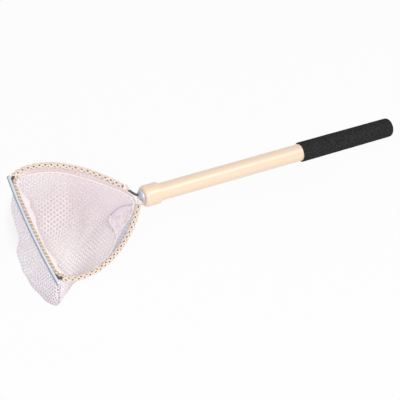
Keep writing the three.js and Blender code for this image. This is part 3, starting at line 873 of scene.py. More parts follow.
def add_guard(finish):
    inboard, high = guard_section().T
    half = GUARD_LENGTH / 2
    places = np.linspace(GUARD_OFFSET + half, GUARD_OFFSET - half, GUARD_RINGS)
    rings = [in_part(front_out(wide) - inboard, wide, high) for wide in places]
    Shell().add(rings).piece("guard_channel", finish, "guard_steel", "front_guard")


add_guard(guard_finish())

# %% [markdown]
# ## Twine and the lashings
#
# The net is tied to the wire by twine that winds along it and comes back over itself, in three bands of two
# twines side by side. That leaves dark gaps in rows of diamonds, along the middle and along both edges. A
# twine is two strands twisted together, so each strand is a helix round the winding's own helix. A twine on
# its way back rises wherever it crosses those below. Between the twines the brown tape shows that is wrapped
# on the wire first.

# %% Twine
STRAND_RADIUS = 0.44 * MM
STRAND_SIDES = 7
TWINE_STRANDS = 2
TWINE_LAY = 6 * MM
TWINE_FLATTEN = 0.6
TWINE_STEP = 0.55 * MM
TWINE_ON_WIRE = WIRE_RADIUS + STRAND_RADIUS * (1 + TWINE_FLATTEN)
FIBRE_DEPTH = 0.12 * MM


def set_fibre(finish, fibre, colour):
    """Gives a finish its colour and the dull, finely rough surface of twisted fibre."""
    bump = finish.bump(fibre, FIBRE_DEPTH, 0.7)
    finish.set(base_color=colour, roughness=fibre * 0.2 + 0.62, normal=bump)
    return finish


def twine_finish():
    finish = Finish("waxed_twine", sheen_weight=0.15)
    fibre = finish.noise(2200)
    tone = finish.noise(150) * 0.6 + fibre * 0.4
    return set_fibre(finish, fibre, finish.mix(tone.spread(1.6), srgb(243, 220, 203), srgb(255, 247, 238)))


def lay_twine(shell, points, outward, radius=STRAND_RADIUS):
    """Adds a twisted twine along points, flattened against whatever lies opposite to outward."""
    walked = Track(points)
    count = int(walked.length / TWINE_STEP)
    places = np.linspace(0, walked.length, count)
    middle = walked.at(places)
    lift = np.stack([np.interp(places, walked.marks, line) for line in outward.T], axis=-1)
    along = unit(np.gradient(middle, axis=0))
    lift = unit(lift - along * np.sum(lift * along, axis=1, keepdims=True))
    across = np.cross(along, lift)
    for strand in range(TWINE_STRANDS):
        turn = (FULL_TURN * (places / TWINE_LAY + strand / TWINE_STRANDS))[:, None]
        path = middle + radius * (across * np.cos(turn) + lift * np.sin(turn) * TWINE_FLATTEN)
        shell.add(tube_rings(path, blunt_ends(count, radius), STRAND_SIDES))


def round_wire(track, places, angles, radius):
    """Points that go round a line of the hoop's plane, and the directions away from it."""
    out_wide = track.at(places)
    shifted = out_wide + square_to(track.heading(places)) * (radius * np.cos(angles))[:, None]
    points = in_part(*shifted.T, radius * np.sin(angles))
    return points, unit(points - in_part(*out_wide.T))


twine = twine_finish()
print("twine lies", round(TWINE_ON_WIRE / MM, 2), "mm from the wire's middle")

# %% [markdown]
# ## Winding the lashings
#
# A winding is worked out as three lists: where along the wire, at which angle round it, and how far from its
# middle. The twines that come back take the greater distance wherever a band lies below them. Each lashing
# starts beside its knot at the cap and ends a little short of the front.

# %% Lashings
LASHING_LEAD = 26.7 * MM
LASHING_BANDS = 3
LASHING_HALF_BAND = 0.31
LASHING_COVER = 1.0
LASHING_FULL_COVER = 1.25
LASHING_RISE = 1.1 * MM
LASHING_STEP = 0.4 * MM
LASHING_WANDER = 0.25
LASHING_WANDER_LENGTH = 14 * MM
LASHING_KNOT_GAP = 1 * MM
KNOT_LENGTH = 8 * MM
FAR_KNOT_OUT = 14.5 * MM
NEAR_KNOT_OUT = 6 * MM
TAPE_RADIUS = WIRE_RADIUS + 0.25 * MM
TAPE_RINGS = 120
TAPE_SIDES = 14
LASHINGS = {
    "far": dict(line=FAR, knot_out=FAR_KNOT_OUT, front_clear=9.6 * MM, seed=3.1),
    "near": dict(line=NEAR, knot_out=NEAR_KNOT_OUT, front_clear=12.5 * MM, seed=8.6),
}


def lashing_path(track, start, end, seed, shift):
    """Along the wire and back: where, at which angle, and how far from the wire's middle."""
    steps = int((end - start) / LASHING_STEP)
    ahead = np.linspace(start, end, steps)
    places = np.concatenate([ahead, ahead[::-1]])
    angles = FULL_TURN * np.concatenate([ahead - start, 2 * end - ahead[::-1] - start]) / LASHING_LEAD
    angles += LASHING_WANDER * wander(places, LASHING_WANDER_LENGTH, seed)
    under = np.interp(ahead[::-1], ahead, angles[:steps])
    turned = np.exp(1j * LASHING_BANDS * (angles[steps:] + shift - under))
    apart = np.angle(turned) / LASHING_BANDS
    over_band = np.clip(LASHING_FULL_COVER - np.abs(apart) / LASHING_COVER, 0, 1)
    radius = np.full(2 * steps, TWINE_ON_WIRE)
    radius[steps:] += LASHING_RISE * np.sqrt(np.sin(over_band * math.pi / 2))
    return places, angles + shift, radius


def add_lashing(side, finish, tape, line, knot_out, front_clear, seed):
    track = Track(line)
    start = np.interp(knot_out, line[:, 0], track.marks) + KNOT_LENGTH / 2 + LASHING_KNOT_GAP
    end = np.interp(HOOP_DEPTH - front_clear, line[:, 0], track.marks)
    shell = Shell()
    for band in range(LASHING_BANDS):
        for half in (-LASHING_HALF_BAND, LASHING_HALF_BAND):
            shift = FULL_TURN * band / LASHING_BANDS + half
            lay_twine(shell, *round_wire(track, *lashing_path(track, start, end, seed, shift)))
    shell.piece(f"lashing_{side}", finish, "twine", f"{side}_lashing")
    points = in_part(*track.at(np.linspace(start, end, TAPE_RINGS)).T)
    wrapped = Shell().add(tube_rings(points, TAPE_RADIUS, TAPE_SIDES))
    wrapped.piece(f"tape_lashing_{side}", tape, "twine")


tape_brown = srgb(86, 50, 28), srgb(130, 88, 58)
tape = cloudy_finish("brown_tape", 220, *tape_brown, rough=(0.65, 0.2), contrast=1.4, specular_ior_level=0.2)
for side, sizes in LASHINGS.items():
    add_lashing(side, twine, tape, **sizes)

# %% [markdown]
# ## The knots
#
# Each lashing is made fast near the cap by a few close turns round the wire, one strand pulled across them
# and a short loose end. The turns and the crossing strand are one line: the angle round the wire, the place
# along it and the height above it are each a simple function of how far along the twine one is.

# %% Knots
KNOT_TURNS = 3
KNOT_END = 1 * MM
KNOT_CROSSING_TURN = 0.8
KNOT_CROSSING_LIFT = 2.4 * MM
KNOT_TAIL = 7 * MM
KNOT_TAIL_START = 0.05
KNOT_TAIL_LIFT = 0.4 * MM
KNOT_STRAND = 0.68 * MM
KNOT_STEPS = 200
CROSSING_STEPS = 60
TAIL_STEPS = 20
KNOTS = {
    "far": dict(line=FAR, knot_out=FAR_KNOT_OUT, tail_angle=1.0),
    "near": dict(line=NEAR, knot_out=NEAR_KNOT_OUT, tail_angle=2.4),
}


def add_knot(side, finish, line, knot_out, tail_angle):
    track = Track(line)
    middle = np.interp(knot_out, line[:, 0], track.marks)
    coil = np.linspace(0, 1, KNOT_STEPS)
    over = np.linspace(0, 1, CROSSING_STEPS)[1:]
    places = np.concatenate([coil - 0.5, 0.5 - over]) * (KNOT_LENGTH - 2 * KNOT_END) + middle
    turns = np.concatenate([coil * KNOT_TURNS, KNOT_TURNS + over * KNOT_CROSSING_TURN])
    lift = np.concatenate([np.zeros(KNOT_STEPS), KNOT_CROSSING_LIFT * np.sin(over * math.pi) ** 0.5])
    points, outward = round_wire(track, places, turns * FULL_TURN + tail_angle, TWINE_ON_WIRE + lift)
    leaving = unit(points[-1] - points[-4] + outward[-1] * KNOT_TAIL_LIFT)
    tail = points[-1] + np.linspace(KNOT_TAIL_START, 1, TAIL_STEPS)[:, None] * KNOT_TAIL * leaving
    away = np.concatenate([outward, np.tile(outward[-1], (TAIL_STEPS, 1))])
    shell = Shell()
    lay_twine(shell, np.concatenate([points, tail]), away, radius=KNOT_STRAND)
    shell.piece(f"knot_{side}", finish, "twine", f"{side}_knot")


for side, sizes in KNOTS.items():
    add_knot(side, twine, **sizes)

# %% [markdown]
# ## The head cord
#
# Across the front, where the guard covers the wire, the netting hangs from a thicker cord that lies just
# inside the guard and runs on round both corners to the lashings. Three strands are laid into a flat cord,
# and a paler twine laces it to the wire, turn by turn, with dark gaps between the turns.

# %% Head cord
HEAD_CORD_INBOARD = 4.45 * MM
HEAD_CORD_HALF = (1.3 * MM, 0.45 * MM)
HEAD_CORD_LAY = 15 * MM
HEAD_CORD_FROM_OUT = 159 * MM
HEAD_STRANDS = 3
HEAD_STRAND_RADIUS = 1.0 * MM
HEAD_STRAND_SIDES = 10
HEAD_STEPS = 360
LACING_LEAD = 5.8 * MM
LACING_HALF = (2.9 * MM, 1.9 * MM)
LACING_RADIUS = 0.75 * MM
LACING_STEPS = 1500


def cord_finish():
    finish = Finish("tan_cord", sheen_weight=0.1)
    fibre = finish.noise(2400, detail=2)
    tone = finish.noise(200).spread(1.5)
    return set_fibre(finish, fibre, finish.mix(tone, srgb(188, 166, 142), srgb(226, 208, 186)))


def inside_front(inboard):
    """A line inside the wire, from one lashing round both corners to the other, as out and wide."""
    corners = [line[line[:, 0] > HEAD_CORD_FROM_OUT] for line in (FAR, NEAR)]
    line = np.concatenate([corners[0], front_line()[1:-1], corners[1][::-1]])
    return line + inboard * square_to(unit(np.gradient(line, axis=0)))


def winding(track, count, lead, half, phase=0.0):
    """Points of a flattened helix round a line of the hoop's plane."""
    places = np.linspace(0, track.length, count)
    turn = FULL_TURN * places / lead + phase
    shifted = track.at(places) + square_to(track.heading(places)) * (half[0] * np.cos(turn))[:, None]
    return in_part(*shifted.T, half[1] * np.sin(turn))


def add_head_cord(finish, lacing_finish):
    track = Track(inside_front(HEAD_CORD_INBOARD))
    cord = Shell()
    for strand in range(HEAD_STRANDS):
        phase = FULL_TURN * strand / HEAD_STRANDS
        path = winding(track, HEAD_STEPS, HEAD_CORD_LAY, HEAD_CORD_HALF, phase)
        cord.add(tube_rings(path, blunt_ends(HEAD_STEPS, HEAD_STRAND_RADIUS), HEAD_STRAND_SIDES))
    cord.piece("head_cord", finish, "twine", "front_head_cord")
    path = winding(track, LACING_STEPS, -LACING_LEAD, LACING_HALF)
    lacing = Shell().add(tube_rings(path, blunt_ends(LACING_STEPS, LACING_RADIUS), STRAND_SIDES))
    lacing.piece("head_lacing", lacing_finish, "twine")


add_head_cord(cord_finish(), twine)

# %% [markdown]
# ## The shape of the bag
#
# The bag hangs from the hoop: its floor is deepest at the front and rises to the handle, and its walls are
# steep where it is deep. One line runs from each point of the mouth down to the middle of the floor. All
# lines together make a surface, and the hem, the stitches and the netting are all laid on it. Soft netting
# never hangs quite even: its far front corner is drawn in at a waist, and its front wall has slanting folds.

# %% Mouth of the bag
MOUTH_REAR_OUT = 5 * MM
MOUTH_FRONT_STEPS = 60
MEASURE_POINTS = 60


def mouth_outline(count, smooth=6):
    """The mouth of the bag as out and wide, evenly spaced: far side, front, near side and rear."""
    corner_out = front_out(FRONT_HALF_STRAIGHT) - HEAD_CORD_INBOARD
    sides = [line[(line[:, 0] > MOUTH_REAR_OUT) & (line[:, 0] < corner_out)] for line in (FAR, NEAR)]
    wide = np.linspace(sides[0][-1, 1], sides[1][-1, 1], MOUTH_FRONT_STEPS)[1:-1]
    front = np.stack([front_out(wide) - HEAD_CORD_INBOARD, wide], axis=-1)
    rear = np.array([[MOUTH_REAR_OUT, 0.0]])
    track = Track(closed(np.concatenate([sides[0], front, sides[1][::-1], rear])))
    line = track.at(np.linspace(0, track.length, count, endpoint=False))
    for _ in range(smooth):
        line = (np.roll(line, 1, axis=0) + 2 * line + np.roll(line, -1, axis=0)) / 4
    return line


print("the mouth is", round(Track(closed(mouth_outline(MEASURE_POINTS))).length, 3), "m round")

# %% Floor of the bag
BAG_FRONT_DROP = 112 * MM
BAG_SIDE_TILT = 0.45
BAG_SIDE_RADIUS = 227 * MM
BAG_FLOOR_SLOPE = 0.9
BAG_NEAR_SLOPE = 0.1
BAG_LEAST_DROP = 9 * MM
BAG_SOFTNESS = 8 * MM


def floor_drop(out, wide):
    """How far the bag's floor hangs below the hoop's plane."""
    front = BAG_FRONT_DROP + BAG_SIDE_TILT * wide - wide**2 / (2 * BAG_SIDE_RADIUS)
    slope = BAG_FLOOR_SLOPE + BAG_NEAR_SLOPE * np.clip(-wide / HOOP_HALF_WIDTH, 0, 1)
    drop = front - slope * (HOOP_DEPTH - out)
    return BAG_LEAST_DROP + BAG_SOFTNESS * np.log1p(np.exp(drop / BAG_SOFTNESS))


print("the floor drops by", round(floor_drop(HOOP_DEPTH, 0.0), 3), "m at the front")

# %% Creases and folds
CORNER_ASIDE = np.array([0.87, -0.49, 0.0])
CORNER_FROM_OUT = 120 * MM
CORNER_FADE_OUT = 45 * MM
CORNER_FADE_WIDE = 50 * MM
CORNER_CREASES = (
    dict(depth=6.5 * MM, middle=-45 * MM, size=15 * MM),
    dict(depth=-3.2 * MM, middle=2 * MM, size=15 * MM),
    dict(depth=-2 * MM, middle=-95 * MM, size=24 * MM),
)
WALL_FOLD = 0.8 * MM
WALL_FOLD_LENGTH = 34 * MM
WALL_FOLD_SLANT = 0.8
WALL_FROM_OUT = 150 * MM
WALL_FADE_OUT = 20 * MM


def crease(z, depth, middle, size):
    return depth * np.exp(-(((z - middle) / size) ** 2))


def creased(points, sink):
    """The bag with the waist and bulges of its far front corner and the folds of its front wall."""
    x, y, z = np.moveaxis(points, -1, 0)
    ahead = np.clip((HOOP_X - x - CORNER_FROM_OUT) / CORNER_FADE_OUT, 0, 1)
    at_corner = ahead * np.clip(0.5 + y / CORNER_FADE_WIDE, 0, 1)
    aside = sum(crease(z, **sizes) for sizes in CORNER_CREASES)
    folds = WALL_FOLD * np.sin(FULL_TURN * (WALL_FOLD_SLANT * y + z) / WALL_FOLD_LENGTH)
    on_wall = np.clip((HOOP_X - x - WALL_FROM_OUT) / WALL_FADE_OUT, 0, 1) * np.clip(3 * sink - 0.5, 0, 1)
    moved = points + (aside * at_corner)[..., None] * CORNER_ASIDE
    moved[..., 0] -= folds * on_wall
    return moved


print(len(CORNER_CREASES), "creases at the far front corner")

# %% Lines down the bag
BAG_CENTRE_OUT = 112 * MM
BAG_FRONT_SWING = 11 * MM
BAG_STEEP_DROP = 60 * MM
BAG_WALL_SQUARENESS = 0.16
BAG_LINE_STEPS = 160
NET_CLEAR = 3.6 * MM


def bag_lines(outline):
    """One line of points down the bag for each point of the mouth."""
    out, wide = outline.T
    steep = np.minimum(floor_drop(out, wide) / BAG_STEEP_DROP, 1)
    centre = in_part(BAG_CENTRE_OUT, 0.0)
    start = in_part(out, wide)
    inwards = unit((centre - start) * (1, 1, 0))
    lean = (steep * math.pi / 2)[:, None]
    leaving = inwards * np.cos(lean) - UP * np.sin(lean)
    along = unit(np.roll(start, -1, axis=0) - np.roll(start, 1, axis=0))
    square = np.sqrt(1 - np.sum(leaving * along, axis=1) ** 2)
    start = start + leaving * (NET_CLEAR / square)[:, None]
    share = np.linspace(0, 1, BAG_LINE_STEPS + 1)
    turn = share * math.pi / 2
    boxy = np.clip(np.cos(turn), 0, 1) ** BAG_WALL_SQUARENESS
    boxy[-1] = 0
    steep = steep[:, None]
    reach = ((1 - share) * (1 - steep) + boxy * steep)[..., None]
    sink = (1 - (1 - share) ** 2) * (1 - steep) + np.sin(turn) * steep
    points = centre + (start - centre)[:, None] * reach
    wide_here = points[..., 1] / math.cos(HOOP_ROLL)
    floor = wide_here * math.sin(HOOP_ROLL) - floor_drop(HOOP_X - points[..., 0], wide_here)
    forward = np.maximum(0, (centre[0] - points[..., 0]) / (HOOP_DEPTH - BAG_CENTRE_OUT))
    points[..., 2] = start[:, None, 2] + (floor - start[:, None, 2]) * sink
    points[..., 0] -= BAG_FRONT_SWING * forward * sink
    return creased(points, sink)


print("bag: lowest floor", round(bag_lines(mouth_outline(MEASURE_POINTS))[..., 2].min(), 4), "m")

# %% [markdown]
# ## The netting's flat cut
#
# Knotless netting is a sheet of six-sided holes. On a real net it is cut flat, folded up at the front and
# sewn up at the two front corners. The same is done here: the bag's surface is cut along the two corners and
# laid flat by Blender's unwrapping. At the rear the sheet is wider than the bag, because there it is
# gathered, and its holes are drawn out into lines.

# %% The bag as a mesh
BAG_AROUND = 180
BAG_ROWS = 64
SEAM_SHORT = 12 * MM


def bag_grid():
    """The mouth's outline, and points at even shares of the lines down the bag."""
    outline = mouth_outline(BAG_AROUND)
    tracks = [Track(line) for line in bag_lines(outline)]
    shares = np.linspace(0, 1, BAG_ROWS + 1)
    return outline, np.array([track.at(shares * track.length) for track in tracks])


def seam_edges(outline, grid):
    """The edges down both front corners, as pairs of points, where the bag is sewn up."""
    count = len(grid)
    cut = set()
    for side in (1, -1):
        corner = int(np.argmax(outline[:, 0] + side * outline[:, 1]))
        depth = floor_drop(*outline[corner]) - SEAM_SHORT
        stop = int(np.searchsorted(Track(grid[corner]).marks, depth))
        cut |= {(row * count + corner, (row + 1) * count + corner) for row in range(stop)}
    return cut


def bag_mesh(grid):
    """The bag as a closed surface with one point in the middle of its floor."""
    count = len(grid)
    shell = Shell().add(grid[:, :-1].transpose(1, 0, 2), open_rings=True)
    points = np.concatenate([*shell.points, grid[:1, -1]])
    middle = len(points) - 1
    last = middle - count
    closing = [[row + count - 1, row, row + count, row + 2 * count - 1] for row in range(0, last, count)]
    fan = [[last + k, last + (k + 1) % count, middle] for k in range(count)]
    mesh = bpy.data.meshes.new("flat_cut")
    mesh.from_pydata(points.tolist(), [], shell.faces + closing + fan)
    return mesh, points


print("the bag has", BAG_AROUND, "lines of", BAG_ROWS, "steps")

# %% Laid flat
UNWRAP_ROUNDS = 40
NET_GATHER = 0.8
NET_GATHER_REACH = 75 * MM


def unwrap(mesh, cut):
    """Cuts a mesh along edges and lays it flat. Gives each triangle's flat corners and point numbers."""
    sheet = bpy.data.objects.new("flat_cut", mesh)
    bpy.context.scene.collection.objects.link(sheet)
    for edge in mesh.edges:
        edge.use_seam = tuple(sorted(edge.vertices)) in cut
    bpy.context.view_layer.objects.active = sheet
    sheet.select_set(True)
    bpy.ops.object.mode_set(mode="EDIT")
    bpy.ops.mesh.select_all(action="SELECT")
    bpy.ops.uv.unwrap(method="MINIMUM_STRETCH", fill_holes=False, iterations=UNWRAP_ROUNDS)
    bpy.ops.object.mode_set(mode="OBJECT")
    mesh.calc_loop_triangles()
    flat = np.array([loop.uv for loop in mesh.uv_layers.active.data])
    loops = np.array([triangle.loops for triangle in mesh.loop_triangles])
    corners = np.array([triangle.vertices for triangle in mesh.loop_triangles])
    bpy.data.objects.remove(sheet)
    return flat[loops], corners


def triangle_area(corners):
    sides = np.pad(corners[:, 1:] - corners[:, :1], ((0, 0), (0, 0), (0, 3 - corners.shape[2])))
    return np.linalg.norm(np.cross(sides[:, 0], sides[:, 1]), axis=1).sum() / 2


def flat_bag(outline, grid):
    """Lays the bag flat, with its rear at 0. Gives each triangle's places on the sheet and on the bag."""
    mesh, points = bag_mesh(grid)
    on_sheet, corners = unwrap(mesh, seam_edges(outline, grid))
    on_bag = points[corners]
    rear = on_sheet[corners == int(np.argmin(outline[:, 0]))][0]
    forward = unit(on_sheet[corners == len(points) - 1][0] - rear)
    aside = np.array([forward[1], -forward[0]])
    on_sheet = np.stack([(on_sheet - rear) @ aside, (on_sheet - rear) @ forward], axis=-1)
    return on_sheet * math.sqrt(triangle_area(on_bag) / triangle_area(on_sheet)), on_bag


def gathered(on_sheet):
    """The sheet before it was drawn together at the rear, where it is wider than the bag."""
    aside, ahead = on_sheet[..., 0], on_sheet[..., 1]
    wider = 1 + NET_GATHER * np.clip(1 - ahead / NET_GATHER_REACH, 0, 1) ** 2
    return np.stack([aside * wider, ahead], axis=-1)


on_sheet, on_bag = flat_bag(*bag_grid())
on_sheet = gathered(on_sheet)
net_area = triangle_area(on_sheet)

# %% [markdown]
# ## The netting's holes
#
# A flat honeycomb is drawn over the sheet, and each of its corners is carried back to its place on the bag,
# by way of the triangle of the sheet that it falls in. Each cell then gets its hole. At the rear and on the
# near side the netting is drawn together, so the holes there are nearly closed.

# %% Honeycomb
NET_PITCH = 5.8 * MM
NET_STRETCH = np.array([[1.0, -0.14], [-0.1, 1.0]])
NET_TURN = math.radians(9)
SAME_CORNER = 0.05


def honeycomb(low, high, pitch):
    """Six-sided cells over a rectangle: their corners, and each cell's six corners by number."""
    side = pitch / math.sqrt(3)
    numbers, corners, cells = {}, [], []
    for row in range(int((high[1] - low[1]) / (1.5 * side)) + 2):
        for column in range(int((high[0] - low[0]) / pitch) + 2):
            middle = np.array([low[0] + (column + 0.5 * (row % 2)) * pitch, low[1] + row * 1.5 * side])
            cell = []
            for k in range(6):
                angle = math.radians(60 * k + 30)
                corner = middle + side * np.array([math.cos(angle), math.sin(angle)])
                key = tuple(np.round(corner / (SAME_CORNER * pitch)).astype(int))
                if key not in numbers:
                    numbers[key] = len(corners)
                    corners.append(corner)
                cell.append(numbers[key])
            cells.append(cell)
    return np.array(corners), cells


def turned_honeycomb(on_sheet):
    """A honeycomb over the whole sheet, turned and skewed as the netting's rows of holes are."""
    cos, sin = math.cos(NET_TURN), math.sin(NET_TURN)
    lattice = NET_STRETCH @ np.array([[cos, -sin], [sin, cos]])
    turned = on_sheet @ np.linalg.inv(lattice).T
    corners, cells = honeycomb(turned.min((0, 1)), turned.max((0, 1)), NET_PITCH)
    return corners @ lattice.T, cells


comb_corners, comb_cells = turned_honeycomb(on_sheet)
print("honeycomb:", len(comb_cells), "cells round and on the sheet")

# %% Carried to the bag
def carry_to_bag(corners, on_sheet, on_bag):
    """Each corner's place on the bag, and how far it is off the sheet. Those move to the sheet's edge."""
    flat_points = np.pad(on_sheet.reshape(-1, 2), ((0, 0), (0, 1)))
    triangles = [(3 * i, 3 * i + 1, 3 * i + 2) for i in range(len(on_sheet))]
    tree = BVHTree.FromPolygons(flat_points.tolist(), triangles)
    places, off = [], []
    for corner in corners:
        nearest, _, index, distance = tree.find_nearest(Vector((*corner, 0)))
        flat = [Vector(flat_points[i]) for i in triangles[index]]
        bag = [Vector(point) for point in on_bag[index]]
        places.append(geometry.barycentric_transform(nearest, *flat, *bag))
        off.append(distance)
    return places, np.array(off)


comb_places, comb_off = carry_to_bag(comb_corners, on_sheet, on_bag)
print("honeycomb:", len(comb_places), "corners carried to the bag")

# %% Holes
NET_OPENING = 0.62
NET_CLOSED = 0.22
NET_REAR_FORWARD = (0.34, 0.62)
NET_NEAR_SIDE = (-46 * MM, -12 * MM)
NET_WALL_FORWARD = 0.95
ON_SHEET = 1e-6
DOUBLE_POINT = 0.5 * MM


def cell_opening(centre):
    """How far a cell stands open: less at the rear and on the near side."""
    forward = (HOOP_X - centre.x) / HOOP_DEPTH
    opening = np.interp(forward, NET_REAR_FORWARD, (NET_CLOSED, NET_OPENING))
    if forward < NET_WALL_FORWARD:
        opening = min(opening, np.interp(centre.y, NET_NEAR_SIDE, (NET_CLOSED, NET_OPENING)))
    return opening


def open_cell(work, face):
    """Puts a hole in the middle of a cell, so that a flat rim of strands is left."""
    centre = face.calc_center_median()
    outer = list(face.verts)
    opening = cell_opening(centre)
    inner = [work.verts.new(centre.lerp(vert.co, opening)) for vert in outer]
    for k in range(len(outer)):
        work.faces.new((outer[k - 1], outer[k], inner[k], inner[k - 1]))
    work.faces.remove(face)


def net_mesh(places, off, cells):
    """The honeycomb on the bag, with a hole in each cell. Cells that lie off the sheet are left out."""
    kept = [cell for cell in cells if (off[cell] < ON_SHEET).sum() >= 3 and off[cell].max() < NET_PITCH]
    mesh = bpy.data.meshes.new("netting")
    mesh.from_pydata(places, [], kept)
    work = bmesh.new()
    work.from_mesh(mesh)
    loose = [v for v in work.verts if not v.link_faces]
    bmesh.ops.delete(work, geom=loose, context="VERTS")
    bmesh.ops.remove_doubles(work, verts=work.verts, dist=DOUBLE_POINT)
    bmesh.ops.recalc_face_normals(work, faces=work.faces)
    for face in list(work.faces):
        open_cell(work, face)
    work.to_mesh(mesh)
    work.free()
    return mesh, len(kept)


netting_mesh, holes = net_mesh(comb_places, comb_off, comb_cells)
print("netting:", holes, "holes")

# %% [markdown]
# ## The netting as a piece
#
# The strands are flat so far. A Solidify modifier gives them their thickness, and a subdivision rounds them.
# The nylon is pink inside the bag. Its colour is painted whiter on the front wall as painted light, and it
# is painted a deeper lilac towards the rear, the sides and the lowest part as painted shade.

# %% Netting
NET_THICKNESS = 0.9 * MM


def netting_finish():
    finish = Finish("nylon_netting", sheen_weight=0.2, specular_ior_level=0.4)
    fibre = finish.noise(1800, detail=2)
    x, y, z = finish.axes("XYZ")
    forward = (HOOP_X - x) * (1 / HOOP_DEPTH) + finish.noise(45) * 0.1 - 0.05
    # the lilac is painted shade at the rear, and the white is painted light on the front wall
    shaded_lilac, pink, white = srgb(228, 212, 217), srgb(253, 241, 242), srgb(253, 247, 253)
    tone = finish.ramp(forward, (0.32, shaded_lilac), (0.64, pink), (0.85, pink), (1.0, white))
    inside = finish.ramp(forward, (0.85, 1.0), (0.98, 0.0))
    # painted shade: deeper lilac towards both sides inside the bag and towards the lowest part
    sides = inside * (y**2 * 135 - 0.1)
    low = z * -40 - 3.2
    finish.set(
        base_color=finish.mix(sides.at_least(low), tone, srgb(227, 211, 216)),
        roughness=fibre * 0.2 + 0.45,
        normal=finish.bump(fibre, 0.06 * MM, 0.5),
    )
    return finish


def add_netting(finish):
    netting = mesh_piece(netting_mesh, "netting", finish, "netting", "net_bag")
    strands = netting.modifiers.new("strands", "SOLIDIFY")
    strands.thickness = NET_THICKNESS
    strands.offset = 0
    rounding = netting.modifiers.new("rounding", "SUBSURF")
    rounding.levels = rounding.render_levels = 1


add_netting(netting_finish())

# %% [markdown]
# ## The hem
#
# The top of the netting is folded into a soft band, gathered by the lashing, so it stands in small pleats.
# The band is a strip down from the mouth with a rippled face, tall on the far side and short at the rear and
# the front, and its lower edge is rolled in. At the front the fold lies over the head cord instead, as a
# flat soft flap towards the bag, wide in two places and narrow between them.

# %% Face of the hem
HEM_HEIGHT = 12 * MM
HEM_THICKNESS = 1.2 * MM
HEM_PROUD = 0.9 * MM
HEM_AROUND = 480
HEM_ROWS = 10
HEM_SMOOTH = 14
HEM_FAR_SHARES = ((0, 0.3), (25 * MM, 0.6), (135 * MM, 0.7), (166 * MM, 0.3))
HEM_NEAR_SHARES = ((14 * MM, 0.3), (36 * MM, 1.0), (76 * MM, 0.3), (166 * MM, 0.3))
PLEAT_LENGTH = 6 * MM
PLEAT_DEPTH = 0.8 * MM
PLEAT_LOWEST = 0.35
PLEAT_WANDER = 2.6
PLEAT_WANDER_LENGTH = 24 * MM


def hem_shares(outline):
    """How tall the band is along the mouth, as a share of its full height."""
    out, wide = outline.T
    far, near = (np.interp(out, *np.transpose(shares)) for shares in (HEM_FAR_SHARES, HEM_NEAR_SHARES))
    return np.where(wide > 0, far, near)


def inward_of(grid):
    """Directions into the bag from each point of a grid of lines."""
    around = np.roll(grid, -1, axis=0) - np.roll(grid, 1, axis=0)
    return unit(np.cross(around, np.gradient(grid, axis=1)))


def hem_grid():
    """The face of the hem, from the mouth down, with its pleats, and the directions into the bag."""
    outline = mouth_outline(HEM_AROUND, HEM_SMOOTH)
    heights = HEM_HEIGHT * hem_shares(outline)[:, None] * np.linspace(0, 1, HEM_ROWS)
    grid = np.array([Track(line).at(depths) for line, depths in zip(bag_lines(outline), heights)])
    inwards = inward_of(grid)
    around = Track(closed(outline)).marks[:-1]
    bent = PLEAT_WANDER * wander(around, PLEAT_WANDER_LENGTH, 5.0)
    ripple = np.sin(FULL_TURN * around / PLEAT_LENGTH + bent)
    fade = np.linspace(1, PLEAT_LOWEST, HEM_ROWS)
    return grid + inwards * (PLEAT_DEPTH * ripple[:, None] * fade + HEM_PROUD)[..., None], inwards


hem_face, hem_inwards = hem_grid()

# %% Rolled edge and front flap
ROLL_RADIUS = 1.3 * MM
ROLL_SIDES = 10
ROLL_UNEVEN = 0.3
ROLL_UNEVEN_RINGS = 16
FLAP_HALF = 3.2 * MM
FLAP_SHARES = (
    (0, 0.5), (0.12, 0.65), (0.25, 1.5), (0.4, 1.2), (0.55, 0.6), (0.7, 0.35), (0.82, 1.25), (1, 0.7),
)
FLAP_THICKNESS = 1.0 * MM
FLAP_FROM_INBOARD = 6.8 * MM
FLAP_RINGS = 160
FLAP_SIDES = 16
FLAP_TAPER = 6
FLAP_UNEVEN = 0.2
FLAP_UNEVEN_LENGTH = 9 * MM
FLAP_SAG = 0.6
FLAP_SAG_LENGTH = 12 * MM
FLAP_DROOP = 0.5


def edge_roll(grid, inwards):
    """Rings of the rolled lower edge of the band."""
    down = unit(grid[:, -1] - grid[:, -2])[:, None]
    angles = ring_angles(ROLL_SIDES)[:, None]
    uneven = 1 + ROLL_UNEVEN * wander(np.arange(len(grid)), ROLL_UNEVEN_RINGS, 9.0)[:, None, None]
    turned = inwards[:, -1:] * np.cos(angles) + down * np.sin(angles)
    return grid[:, -1:] + ROLL_RADIUS * uneven * turned


def front_flap():
    """Rings of the soft flap along the front, inside the head cord."""
    inside = Track(inside_front(FLAP_FROM_INBOARD))
    places = np.linspace(0, inside.length, FLAP_RINGS)
    shares = np.interp(places / inside.length, *np.transpose(FLAP_SHARES))
    half = FLAP_HALF * shares * (1 + FLAP_UNEVEN * wander(places, FLAP_UNEVEN_LENGTH, 2.0))
    across = square_to(inside.heading(places))
    middle = inside.at(places) + across * half[:, None]
    angles = ring_angles(FLAP_SIDES)
    ends = blunt_ends(FLAP_RINGS, 1.0, FLAP_TAPER)[:, None]
    flat = middle[:, None] + across[:, None] * (ends * half[:, None] * np.cos(angles))[..., None]
    wave = FLAP_SAG * wander(places, FLAP_SAG_LENGTH, 7.0)[:, None]
    sag = FLAP_THICKNESS * (wave - np.cos(angles) * FLAP_DROOP)
    return in_part(flat[..., 0], flat[..., 1], ends * (FLAP_THICKNESS * np.sin(angles) + sag))


widest = 2 * FLAP_HALF * max(share for _, share in FLAP_SHARES)
print("the flap is about", round(widest / MM, 1), "mm wide at its widest")

# %% Hem band
CREAM_FROM_OUT = 135 * MM


